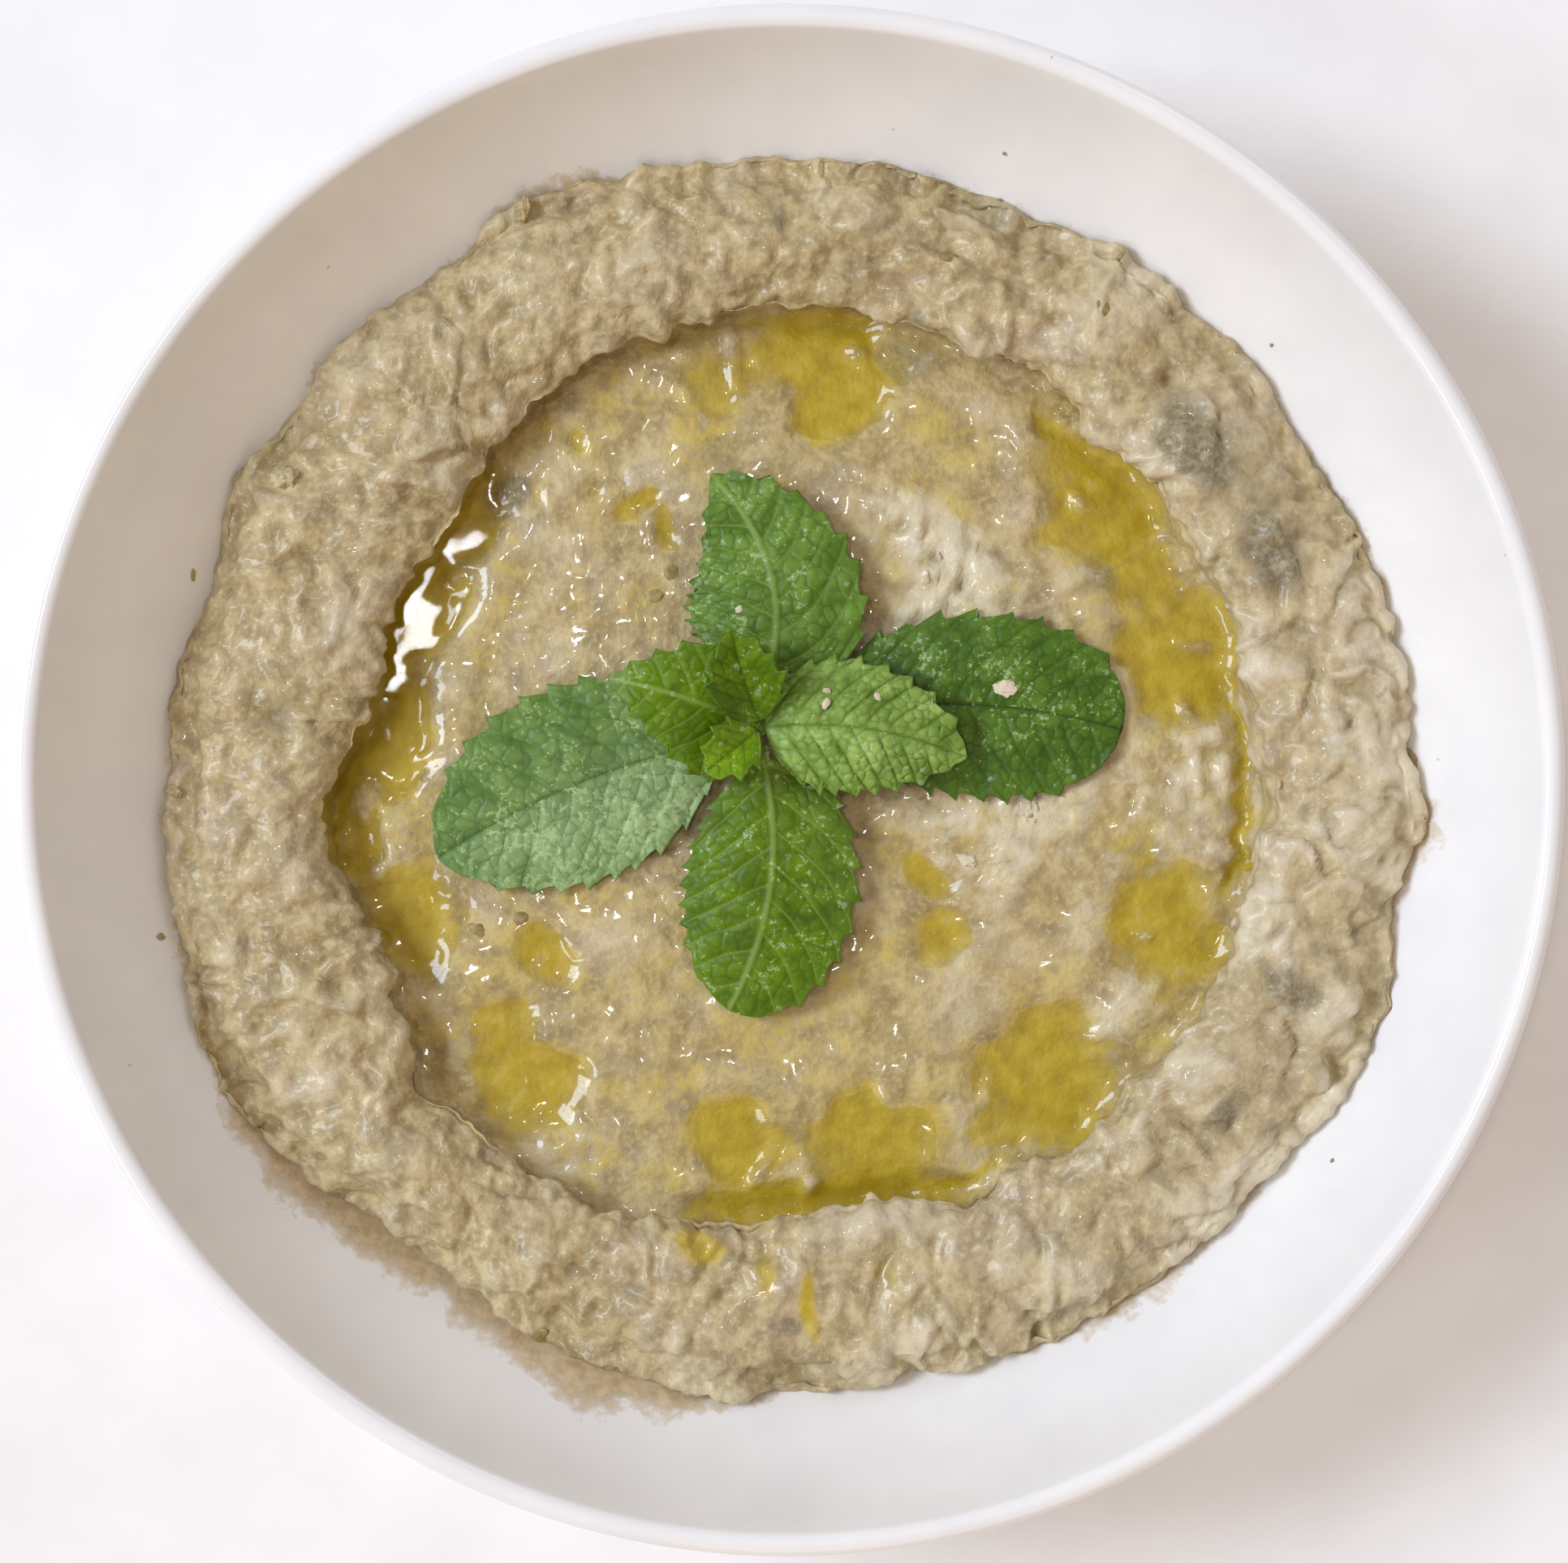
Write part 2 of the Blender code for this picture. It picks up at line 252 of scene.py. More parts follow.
def wall_z(radius):
    """Height of the bowl's inside at that radius from the axis."""
    out = max(0.0, radius - FLOOR_RADIUS)
    return ARC_CENTRE_Z - math.sqrt(ARC_RADIUS**2 - min(out, ARC_RADIUS) ** 2)


turns = [ARC_TURN * step / WALL_STEPS for step in range(WALL_STEPS + 1)]
lip_centre = on_arc(ARC_TURN, ARC_RADIUS + LIP / 2)
lip = []
for step in range(1, LIP_STEPS):
    angle = math.pi / 2 + ARC_TURN - math.pi * step / LIP_STEPS
    lip.append(lip_centre + Vector((math.cos(angle), 0, math.sin(angle))) * LIP / 2)
outside = [
    on_arc(turn, ARC_RADIUS + WALL + (LIP - WALL) * turn / ARC_TURN) for turn in reversed(turns[FOOT_STEP:])
]
inner_foot = FOOT_RADIUS - FOOT_WIDTH
foot = [Vector((r, 0, z)) for r, z in (
    (FOOT_RADIUS, FOOT_HEIGHT), (FOOT_RADIUS, 0), (inner_foot, 0), (inner_foot, FOOT_HEIGHT), (0, FOOT_HEIGHT)
)]
profile = [Vector((0, 0, FLOOR_Z))] + [on_arc(turn, ARC_RADIUS) for turn in turns] + lip + outside + foot

bm = bmesh.new()
points = [bm.verts.new(point) for point in profile]
edges = [bm.edges.new(pair) for pair in zip(points, points[1:])]
bmesh.ops.spin(
    bm, geom=points + edges, axis=(0, 0, 1), cent=(0, 0, 0), angle=math.tau, steps=TURNS, use_merge=True
)
bmesh.ops.remove_doubles(bm, verts=bm.verts[:], dist=1e-6)
foot_edges = [
    e for e in bm.edges
    if all(v.co.z < 1e-5 and v.co.xy.length > 0.01 for v in e.verts)
    and abs(e.verts[0].co.xy.length - e.verts[1].co.xy.length) < 1e-5
]
bmesh.ops.bevel(
    bm, geom=foot_edges, offset=0.9 * MM, segments=4, profile=0.5, affect="EDGES", material=-1, clamp_overlap=True
)
bmesh.ops.recalc_face_normals(bm, faces=bm.faces[:])

# %% [markdown]
# Porcelain under a clear glaze: dense white clay with a thin coat of glass fired on. The eye gets a bright,
# faintly uneven white with a hard, sharp gloss. The foot ring is wiped before firing, so it is matt there.
# %% Glazed porcelain
porcelain, node, place = new_material("porcelain, jiggered and clear glazed")
GLAZE_WAVE = 14 * MM  # the slow waves that the profile tool leaves
SPECK_APART = 9 * MM
FOOT_BARE = (0.5 * MM, 0.9 * MM)  # the glaze begins between these heights
drift = node("TexNoise", {"Vector": place, "Scale": 1 / GLAZE_WAVE, "Detail": 2.0})
white = node("ValToRGB", {0: drift}, stops=((0.35, "#F2F1EF"), (0.65, "#F7F6F3")))
speck = node("TexVoronoi", {"Vector": place, "Scale": 1 / SPECK_APART, "Randomness": 1.0})
dot = node("ValToRGB", {0: speck}, stops=((0.012, 0.75), (0.03, 0.0)))
speckled = node("Mix", {0: dot, 6: white, 7: "#B9AE9C"}, data_type="RGBA")
bare = node("MapRange", {
    "Value": node("SeparateXYZ", {0: place}).outputs["Z"],
    "From Min": FOOT_BARE[0], "From Max": FOOT_BARE[1], "To Min": 1.0, "To Max": 0.0,
})
shell = node("Mix", {0: bare, 6: speckled, 7: "#DDD4C6"}, data_type="RGBA")
gloss = node("MapRange", {"Value": bare, "To Min": 0.09, "To Max": 0.7})
wave = node("Bump", {"Height": drift, "Distance": 0.10 * MM, "Strength": 0.5})
glaze = node("BsdfPrincipled", {"Base Color": shell, "Roughness": gloss, "IOR": 1.52, "Normal": wave})
node("OutputMaterial", {"Surface": glaze})
bowl = add_piece("coupe_bowl", bm, porcelain, replaces="bowl", sharp=50)


# %% [markdown]
# ## The dip
# One mass of mashed aubergine, so one closed mesh. Its form is a section that changes slowly round the bowl:
# a shallow well, a torn inner wall that hangs over the well a little, a rounded ring and a steep outer foot.
# A square grid is pulled into a disc, which keeps its squares even with no pole in the middle. Each point is
# then placed by the section and pushed out along the surface by noise: folds 9 mm wide, lumps of 3 to 4 mm
# and pulp of 1 to 2 mm. In the well the spoon has drawn the pulp out along its circular stroke.
# %% The ring's outline
RING_OUTER = 82.6 * MM
RING_INNER = 63.4 * MM
CREST_Z = 31 * MM
WELL_EDGE_Z = 22.3 * MM
WELL_RISE = 1.3 * MM
# Where the ring bulges into the well, and where its foot is pushed out, as (degrees, mm, half width in degrees).
INNER_BULGES = (
    (10, 2.2, 6), (31, 2.3, 6), (46, 2.2, 5), (149, 5.2, 17), (171, 4.6, 6), (204, 3.4, 8), (277, 5.2, 17),
    (302, 2.6, 5), (320, 1.6, 10),
)
OUTER_BULGES = (
    (33, -1.2, 5), (112, 1.4, 7), (163, -1.4, 6), (207, 3.0, 9), (233, -3.2, 11), (280, -1.4, 12),
    (336, 2.6, 7), (356, 2.2, 3),
)


def bump(degrees, centre, half_width):
    """A smooth bump of height 1 at centre that has faded out at twice half_width."""
    away = np.abs((degrees - centre + 180) % 360 - 180) / half_width
    return np.where(away < 2, np.cos(np.minimum(away, 2) * math.pi / 4) ** 2, 0.0)


def outline(degrees, radius, bulges):
    """The ring's edge at those angles: its radius and its bulges."""
    return radius + sum(depth * MM * bump(degrees, at, wide) for at, depth, wide in bulges)


def inner_edge(degrees):
    return outline(degrees, RING_INNER, [(at, -depth, wide) for at, depth, wide in INNER_BULGES])


def well_z(radius):
    """Height of the smooth well, a little domed by the spoon."""
    return WELL_EDGE_Z + WELL_RISE * np.maximum(0.0, 1 - (radius / RING_INNER) ** 2)


# %% [markdown]
# Noise gives all the unevenness. Each kind is read at the point's place over its own grain, in millimetres,
# so a lump is as large as the number says. Round lumps come from the distance to the nearest of a scatter of
# points, which is how pebbles and pulp pack.
# %% Noise at a given grain
def grained(points, grain, shift=0.0):
    """Smooth noise, about -1 to 1, with features of that grain."""
    offset = Vector((shift, -shift, shift * 0.7))
    return np.array([noise.noise(point / grain + offset) for point in points])


def lumps(points, grain, shift=0.0):
    """Round lumps of that grain, 0 in their seams and 1 on top."""
    offset = Vector((shift, shift * 0.6, -shift))
    near = np.array([noise.voronoi(point / grain + offset)[0][0] for point in points])
    return np.clip(1 - near**2 * 1.6, 0, 1)


# %% Olive oil: where it lies, as (degrees, radius, half width along the ring, half width across it, amount)
OIL_BEDS = (
    (17, 54.6, 7.6, 7.2, 1.0), (29, 54, 6.5, 4.4, 0.8), (8, 60.4, 8.0, 1.0, 0.8), (40, 56.0, 9.5, 6.6, 1.0),
    (50, 59.0, 5.0, 2.6, 0.8), (41, 49.5, 4.0, 4.0, 0.7), (85, 57.0, 11.0, 5.6, 1.0), (83, 51.5, 5.5, 5.0, 1.0),
    (100, 54.0, 6.0, 5.0, 0.6), (155, 55.4, 8.0, 6.4, 1.0), (141, 56.4, 8.0, 4.6, 0.75),
    (173, 53.5, 8.5, 5.4, 0.95), (184, 58.8, 9.0, 3.2, 1.0), (200, 53.8, 8.0, 6.0, 0.95),
    (228, 53.2, 8.0, 5.8, 0.95), (221, 50.0, 5.0, 4.0, 0.7), (262, 48.8, 7.0, 5.6, 0.95),
    (283, 51.0, 9.0, 7.4, 1.0), (274, 57.0, 17.0, 3.0, 0.95), (311, 53.0, 8.2, 8.4, 1.0),
    (300, 54.0, 6.0, 3.5, 0.6), (339, 54.4, 7.6, 6.8, 1.0), (353, 61.0, 8.0, 1.0, 0.8),
)
OIL_SPOTS = (
    (215, 40.2, 4.4, 3.0, 0.95), (119, 42.4, 3.2, 1.5, 0.9), (116, 37.6, 1.5, 3.2, 0.8),
    (116, 25.6, 1.8, 2.8, 0.9), (325, 22.4, 2.2, 3.6, 0.9), (314, 29.0, 4.0, 3.8, 0.9),
    (122, 53.4, 1.5, 2.6, 0.6), (131, 50.6, 1.3, 2.2, 0.5), (124, 47.5, 1.4, 1.8, 0.5),
)
# Oil that has soaked in and left a yellow stain and a shine, but no pool.
OIL_SOAKED = (
    (349, 47.5, 4.2, 5.0, 0.62), (250, 43.0, 6.0, 5.0, 0.5), (118, 54.0, 12.0, 4.0, 0.5),
    (102, 50.0, 8.0, 7.0, 0.55), (66, 52.0, 9.0, 7.0, 0.5), (28, 47.0, 9.0, 5.0, 0.45),
    (4, 54.0, 9.0, 7.0, 0.30), (322, 44.0, 9.0, 6.0, 0.42), (272, 40.0, 14.0, 8.0, 0.42),
    (296, 44.0, 8.0, 8.0, 0.42), (236, 36.0, 9.0, 8.0, 0.40), (212, 47.0, 8.0, 7.0, 0.42),
    (190, 46.0, 8.0, 8.0, 0.35), (150, 47.0, 9.0, 7.0, 0.40), (304, 30.0, 7.0, 8.0, 0.38),
    (165, 36.0, 7.0, 6.0, 0.30),
)
# Oil that has run down the ring.
OIL_RUNS = (
    (259, 63.0, 3.6, 1.8, 0.8), (267.5, 65.5, 1.5, 3.4, 0.6), (272.5, 69.5, 1.2, 4.2, 1.0),
    (281, 67.0, 1.6, 2.2, 0.5),
)


def patch(points, mark):
    """How much of a mark each point has: 1 in its middle, 0.5 at its edge, 0 well outside."""
    degrees, radius, along, across, amount = mark
    turn = math.radians(degrees)
    x = (points[:, 0] * math.cos(turn) + points[:, 1] * math.sin(turn)) / MM - radius
    y = (points[:, 1] * math.cos(turn) - points[:, 0] * math.sin(turn)) / MM
    away = np.hypot(x / across, y / along)
    return amount * np.clip(1.5 - away, 0, 1) ** 0.8 * (away < 1.5)


def marked(points, marks):
    """The most that any of the marks gives each point."""
    return np.max([patch(points, mark) for mark in marks], axis=0)


# %% Grey and charred skin, as (degrees, radius, half widths, amount), and pits, as (degrees, radius, width, depth)
CHAR_MARKS = (
    (25, 70.5, 5.5, 3.4, 1.1), (39, 70.5, 7.0, 3.8, 1.1), (33, 72.5, 9.0, 4.5, 0.45), (75, 59.0, 3.6, 3.0, 1.2),
    (135, 53.7, 3.6, 2.0, 1.1), (323, 73.6, 4.0, 1.6, 0.9), (338, 71.5, 2.2, 4.0, 0.9),
    (10, 78.0, 3.0, 3.0, 0.4), (269, 73.2, 2.6, 1.4, 0.8), (91, 74.6, 1.2, 2.0, 0.7),
    (173, 68.5, 3.0, 2.6, 0.5), (352, 47.0, 4.0, 3.0, 0.35), (305, 40.0, 5.0, 3.0, 0.4),
    (225, 44.0, 4.0, 3.0, 0.35), (33, 51.0, 2.4, 1.8, 0.8),
)
PITS = (
    (46.5, 73.5, 1.3, 2.2), (173.0, 68.6, 1.6, 2.4), (205.0, 65.4, 1.6, 2.6), (128.0, 74.5, 1.0, 1.4),
    (121.0, 77.0, 0.9, 1.4), (60.0, 70.5, 1.1, 1.6), (322.0, 74.5, 1.3, 2.2), (160.0, 76.0, 1.2, 1.4),
    (343.0, 65.5, 0.7, 1.4), (250.0, 74.0, 1.0, 1.2),
)
# Where the spoon has torn the well, marked as the oil is.
ROUGH_PATCHES = (
    (239, 57.5, 9.0, 5.0, 0.6), (0, 51.5, 9.0, 6.5, 0.5), (188, 55.3, 3.4, 3.0, 0.5), (297, 57.0, 3.4, 3.2, 0.6),
    (52, 35.0, 9.0, 7.0, 1.0), (44, 30.0, 5.0, 5.0, 0.9), (62, 38.0, 6.0, 4.0, 0.7), (355, 33.0, 4.0, 7.0, 0.9),
    (338, 27.0, 5.0, 6.0, 0.7), (150, 40.0, 4.0, 6.0, 0.35), (225, 56.0, 6.0, 4.0, 0.4), (1, 57.0, 8.0, 4.0, 0.5),
)

# %% The section, from the middle of the well to the outer foot
SECTION_SHARES = np.array([0, 0.14, 0.27, 0.39, 0.47, 0.515, 0.55, 0.60, 0.645, 0.69, 0.77, 0.86, 0.925, 0.97, 1.0])


def section(share, degrees, edge_tear, overhang):
    """Radius and height of the dip's smooth surface, for arrays of shares (0 to 1) and angles."""
    inner = inner_edge(degrees) + edge_tear
    outer = outline(degrees, RING_OUTER, OUTER_BULGES) + edge_tear * 0.8
    foot = np.array([wall_z(radius) for radius in outer + 0.4 * MM]) - 0.15 * MM
    crest = CREST_Z + 0.5 * MM * np.cos(np.radians(degrees * 2 + 40))
    knots = [(inner * part, well_z(inner * part)) for part in (0, 0.25, 0.5, 0.75, 0.9)]
    knots += [
        (inner - 1.3 * MM, well_z(inner) - 0.2 * MM),
        (inner + 0.2 * MM, well_z(inner) + 0.9 * MM),
        (inner - overhang * 0.4, well_z(inner) + 4.4 * MM),
        (inner - overhang, crest - 3.2 * MM),
        (inner + 1.5 * MM, crest - 1.2 * MM),
        (inner + (outer - inner) * 0.36, crest),
        (outer - 5.8 * MM, crest - 1.0 * MM),
        (outer - 2.0 * MM, crest - 3.8 * MM),
        (outer - 0.1 * MM, crest * 0.35 + foot * 0.65),
        (outer + 0.4 * MM, foot),
    ]
    knots = [knots[0]] + knots + [knots[-1]]
    radii, heights = (np.stack([np.broadcast_to(k[axis], share.shape) for k in knots]) for axis in (0, 1))
    at = np.clip(np.searchsorted(SECTION_SHARES, share, side="right") - 1, 0, len(SECTION_SHARES) - 2)
    t = (share - SECTION_SHARES[at]) / (SECTION_SHARES[at + 1] - SECTION_SHARES[at])
    every = np.arange(len(share))
    placed = []
    for values in (radii, heights):
        a, b, c, d = (values[at + step, every] for step in range(4))
        placed.append(b + 0.5 * t * (c - a + t * (2 * a - 5 * b + 4 * c - d + t * (3 * (b - c) + d - a))))
    return placed


# %% The disc of points and their smooth places
GRID = 300  # squares along each side of the grid
bm = bmesh.new()
bmesh.ops.create_grid(bm, x_segments=GRID, y_segments=GRID, size=1)
flat = np.array([vert.co[:2] for vert in bm.verts])
share = np.abs(flat).max(axis=1)
wide = np.abs(flat[:, 0]) >= np.abs(flat[:, 1])
major = np.where(wide, flat[:, 0], flat[:, 1])
minor = np.where(wide, flat[:, 1], flat[:, 0])
swing = math.pi / 4 * np.divide(minor, major, out=np.zeros_like(minor), where=major != 0)
angle = np.where(wide, swing, math.pi / 2 - swing) + np.where(major < 0, math.pi, 0)
degrees = np.degrees(angle) % 360
unit = np.stack([np.cos(angle), np.sin(angle), np.zeros_like(angle)], axis=1)

RIM_READ = 68 * MM  # the ring's tears are noise read along a circle of this radius
on_rim = [Vector(place) for place in unit * RIM_READ]
tear = (1.3 * grained(on_rim, 8 * MM, 3.1) + 0.9 * grained(on_rim, 3.2 * MM, 8.4)) * MM
tear += 0.45 * MM * grained(on_rim, 1.4 * MM, 6.6)
hang = 0.6 + 1.5 * bump(degrees, 145, 32) - 1.3 * bump(degrees, 10, 45) + 0.7 * grained(on_rim, 9 * MM, 5.2)
hang *= MM
radius, height = section(share, degrees, tear, hang)
STEP_ASIDE = 0.004  # the shares between which the surface's slope is measured
ahead_radius, ahead_height = section(np.minimum(share + STEP_ASIDE, 1), degrees, tear, hang)
behind_radius, behind_height = section(np.maximum(share - STEP_ASIDE, 0), degrees, tear, hang)
out = np.stack([behind_height - ahead_height, ahead_radius - behind_radius], axis=1)
out /= np.maximum(np.linalg.norm(out, axis=1, keepdims=True), 1e-9)
smooth = unit * radius[:, None]
smooth[:, 2] = height
outward = unit * out[:, :1]
outward[:, 2] = out[:, 1]
points = [Vector(place) for place in smooth]
print(f"dip: {len(points)} points, ring {2 * radius.max() / MM:.0f} mm across")

# %% How far each point is pushed out
ring = np.clip((share - 0.55) / 0.08, 0, 1)
foot_fade = np.clip((1 - share) / 0.03, 0.15, 1)


def strayed(grain, reach, *shifts):
    """Steps of up to about reach mm each way, one way for each shift, by noise of that grain."""
    ways = [grained(points, grain, shift) for shift in shifts]
    return np.stack(ways + [0 * angle] * (3 - len(ways)), axis=1) * reach * MM


warped = [Vector(place) for place in smooth + strayed(5 * MM, 1.6, 1.0, 4.0, 9.0)]


def folds(grain, shift, steps):
    """Slopes that climb slowly and break off sharply, 0 to 1, where noise of that grain crosses a step."""
    level = grained(warped, grain, shift) * steps
    climb = level - np.floor(level)
    return climb * np.clip((1 - climb) * 6, 0, 1)


def creases(grain, shift, width):
    """Narrow seams, 1 along their middle, where noise of that grain crosses zero."""
    return np.exp(-((grained(warped, grain, shift) / width) ** 2))


tossed = np.clip(0.55 + 1.1 * grained(points, 13 * MM, 51.0), 0.15, 1)
rough = (
    1.9 * grained(points, 12 * MM, 2.0)
    + 1.5 * tossed * (folds(10 * MM, 61.0, 1.9) - 0.35)
    + 0.9 * (1.1 - tossed) * (folds(7 * MM, 67.0, 1.6) - 0.35)
    - 0.7 * creases(8 * MM, 71.0, 0.09) * tossed
    + 0.9 * (lumps(warped, 5.5 * MM, 3.0) - 0.5) * (0.4 + 0.6 * tossed)
    + 0.60 * (lumps(warped, 2.6 * MM, 7.0) - 0.5)
    + 0.22 * grained(warped, 1.9 * MM, 5.0)
    + 0.20 * grained(warped, 1.1 * MM, 6.0)
)
# The wall may be dented by 0.7 mm and no deeper, or the torn edge above it thins out to a fin.
rough = np.maximum(rough, -0.7 - 3 * np.clip((share - 0.66) / 0.06, 0, 1))
turned = [
    Vector((r / (1.5 * MM), 3.6 * math.cos(a + 18 * r), 3.6 * math.sin(a + 18 * r)))
    for r, a in zip(radius, angle)
]
stroke = grained(turned, 1.0, 0.0)
broad_stroke = grained([Vector((t.x * 0.3, t.y * 0.6, t.z * 0.6)) for t in turned], 1.0, 11.0)
torn = sum(patch(smooth, mark) for mark in ROUGH_PATCHES)
pressed = (
    0.30 * grained(points, 9 * MM, 12.0)
    + 0.50 * broad_stroke
    + 0.26 * stroke * np.clip(0.5 + 1.5 * grained(points, 12 * MM, 94.0), 0.2, 1.2)
    + 0.55 * (folds(8 * MM, 91.0, 1.5) - 0.35) * np.clip(0.3 + 1.5 * grained(points, 14 * MM, 93.0), 0, 1)
    + 0.26 * grained(warped, 2.6 * MM, 14.0)
    + 0.11 * grained(warped, 1.2 * MM, 15.0)
    + 1.3 * patch(smooth, (97.6, 57.0, 0.9, 4.4, 1.0))
    + torn * (0.9 * (folds(6.5 * MM, 17.0, 1.6) - 0.2) + 1.0 * (lumps(warped, 3.0 * MM, 18.0) - 0.4))
    + torn * 0.5 * grained(warped, 1.7 * MM, 19.0)
)
shore = strayed(7 * MM, 2.8, 81.0, 84.0)
shore += strayed(2.6 * MM, 1.2, 87.0, 89.0)
pooled = marked(smooth + shore, OIL_BEDS)
pooled *= 1 - 0.75 * np.clip(grained(warped, 5 * MM, 95.0) * 2.4 - 0.7, 0, 1)
push = (ring * rough * foot_fade + (1 - ring) * pressed * (1 - 0.65 * np.clip(pooled * 1.3, 0, 1))) * MM
for degrees_at, radius_at, width, depth in PITS:
    turn = math.radians(degrees_at)
    away = np.linalg.norm(smooth[:, :2] / MM - np.array([math.cos(turn), math.sin(turn)]) * radius_at, axis=1)
    push -= depth * MM * np.exp(-((away / width) ** 2)) * (share > 0.6)

# %% Beds for the oil, and the colour maps kept on the points
GUTTERS = ((174, 1.0, 18), (20, 0.4, 32), (345, 0.25, 14), (285, 0.7, 20), (88, 0.6, 14))
spotted = marked(smooth + shore * 0.6, OIL_SPOTS)
soaked_in = marked(smooth + shore, OIL_SOAKED)
run = marked(smooth + shore * 0.4, OIL_RUNS)
gutter = np.exp(-(((inner_edge(degrees) - radius) / MM - 1.6) / 1.6) ** 2) * (share < 0.56)
gutter *= sum(amount * bump(degrees, at, wide) for at, amount, wide in GUTTERS)
inside = 1 - ring
push -= 1.35 * MM * np.clip(pooled * 1.7 - 0.35, 0, 1) * inside
push -= 0.75 * MM * np.clip(spotted * 1.7 - 0.35, 0, 1) * inside
push -= 0.25 * MM * soaked_in * inside
push -= 1.1 * MM * np.clip(gutter, 0, 1) * inside
film = np.maximum.reduce([pooled * inside * 1.1, spotted * inside, soaked_in * inside, gutter * inside, run])
veil = 1.5 * grained(warped, 9 * MM, 25.0) + 0.8 * grained(warped, 3.2 * MM, 26.0)
film = np.maximum(film, inside * np.clip(0.24 + 0.28 * veil + 0.14 * bump(degrees, 235, 70), 0.0, 0.48))
film = film.clip(0, 1) + 0.4 * np.clip(gutter, 0, 1) * inside * (film > 0.5)
char = marked(smooth + shore * 0.8, CHAR_MARKS).clip(0, 1)
char = np.maximum(char, np.clip(grained(points, 4.5 * MM, 31.0) * 1.6 - 0.75, 0, 0.45))

placed = smooth + outward * push[:, None]
seat = np.array([wall_z(reach) for reach in np.hypot(placed[:, 0], placed[:, 1])]) - 0.12 * MM
placed[:, 2] = np.maximum(placed[:, 2], seat)
for vert, place in zip(bm.verts, placed):
    vert.co = place

# %% The underside: the edge is drawn in along the bowl's inside and closed on its flat floor
rim = [edge for edge in bm.edges if edge.is_boundary]
for reach in (0.9, 0.78, 0.64, 0.52, 0.47):
    grown = bmesh.ops.extrude_edge_only(bm, edges=rim)
    for vert in made_verts(grown):
        around = vert.co.xy.normalized() * RING_OUTER * reach
        vert.co = (around.x, around.y, wall_z(around.length) - 0.05 * MM)
    rim = [item for item in grown["geom"] if isinstance(item, bmesh.types.BMEdge) and item.is_boundary]
bmesh.ops.edgeloop_fill(bm, edges=rim)
bmesh.ops.recalc_face_normals(bm, faces=bm.faces[:])

high = ring * rough / 3.0 + (1 - ring) * pressed / 1.2
# The relief's hollows are painted darker, less where oil lies: painted shade.
hollow = np.clip(-high - 0.15, 0, 1) * (1 - 0.6 * film)
white = np.clip(torn * 0.7 * (0.6 + grained(points, 3 * MM, 77.0)), 0, 1)
white = np.clip(white + np.clip(grained(points, 9 * MM, 78.0) * 1.2 - 0.35, 0, 0.35) * (1 - film), 0, 1)
# Crests are painted paler, most of all on the ring's lower right: painted light. The ring's lower right is paler
# overall too.
white = np.clip(white + np.clip(high, 0, 0.6) * (0.55 + 1.5 * bump(degrees, 345, 60)), 0, 1)
white = np.clip(white + 0.16 * ring * bump(degrees, 345, 60), 0, 1)
keep_maps(bm, oil=film, char=char, ring=ring, pale=white, hollow=hollow)
print(f"dip: {len(bm.faces)} faces, film over {film.mean():.0%}")

# %% [markdown]
# Mashed, smoked aubergine with tahini is wet pulp: warm beige with greyer and pinker fibres, pale grains of
# tahini and scraps of charred skin. Oil soaks into it and turns it olive yellow. It shines where the spoon
# has closed the surface in the well, and less on the torn ring. The hollows of its relief are painted darker,
# as painted shade, and its crests paler, as painted light.
# %% Mashed aubergine and tahini
pulp, node, place = new_material("mashed smoked aubergine and tahini, spooned")
oil, skin, ringed, pale_and_lit, hollow_shade = (
    node("Attribute", attribute_name=name).outputs["Fac"] for name in ("oil", "char", "ring", "pale", "hollow")
)
cloud, clump, grain = (
    node("TexNoise", {"Vector": place, "Scale": 1 / (size * MM), "Detail": detail, "Roughness": rough})
    for size, detail, rough in ((9, 3.0, 0.55), (3.0, 2.0, 0.5), (0.9, 3.0, 0.55))
)
both = node("Math", {0: clump, 1: grain}, operation="ADD")
uneven = node("Math", {0: both, 1: 1.0}, operation="SUBTRACT")
body = node("ValToRGB", {0: clump}, stops=((0.30, "#9B885E"), (0.50, "#B5A172"), (0.70, "#CFBC8E")))
pink = node("ValToRGB", {0: clump}, stops=((0.30, "#98856A"), (0.50, "#B49E7E"), (0.70, "#CCB896")))
# Pale torn bits and patches, and the painted light on the crests.
pale_and_lit_part = node("Math", {0: pale_and_lit, 1: 0.8}, operation="MULTIPLY")
# The painted shade in the hollows, mixed in as a dark brown.
hollow_shade_part = node("Math", {0: hollow_shade, 1: 0.65}, operation="MULTIPLY")
flecks = node("Math", {0: uneven, 1: 1.5, 2: skin}, operation="MULTIPLY_ADD")
shores = node("Math", {0: uneven, 1: 0.5, 2: oil}, operation="MULTIPLY_ADD")
# How much of each colour there is: what it follows, where it begins and is full, and its most.
pink_part, dark_part, pale_part, grey_part, deep_part, stain, pool_part = (
    node("MapRange", {"Value": follows, "From Min": begins, "From Max": full, "To Max": most})
    for follows, begins, full, most in (
        (cloud, 0.48, 0.66, 0.55), (grain, 0.50, 0.34, 0.30), (grain, 0.52, 0.70, 0.50), (flecks, 0.28, 0.72, 0.8),
        (oil, 1.0, 1.4, 0.8), (shores, 0.0, 1.0, 0.54), (shores, 0.42, 0.62, 0.42),
    )
)
burnt = node("ValToRGB", {0: grain}, stops=((0.38, "#6A6148"), (0.62, "#9A8F72")))
soaked = node("ValToRGB", {0: clump}, stops=((0.3, "#AE940C"), (0.5, "#C0A61A"), (0.7, "#CEB634")))
deepened = node("Mix", {0: deep_part, 6: soaked, 7: "#927A0A"}, data_type="RGBA")
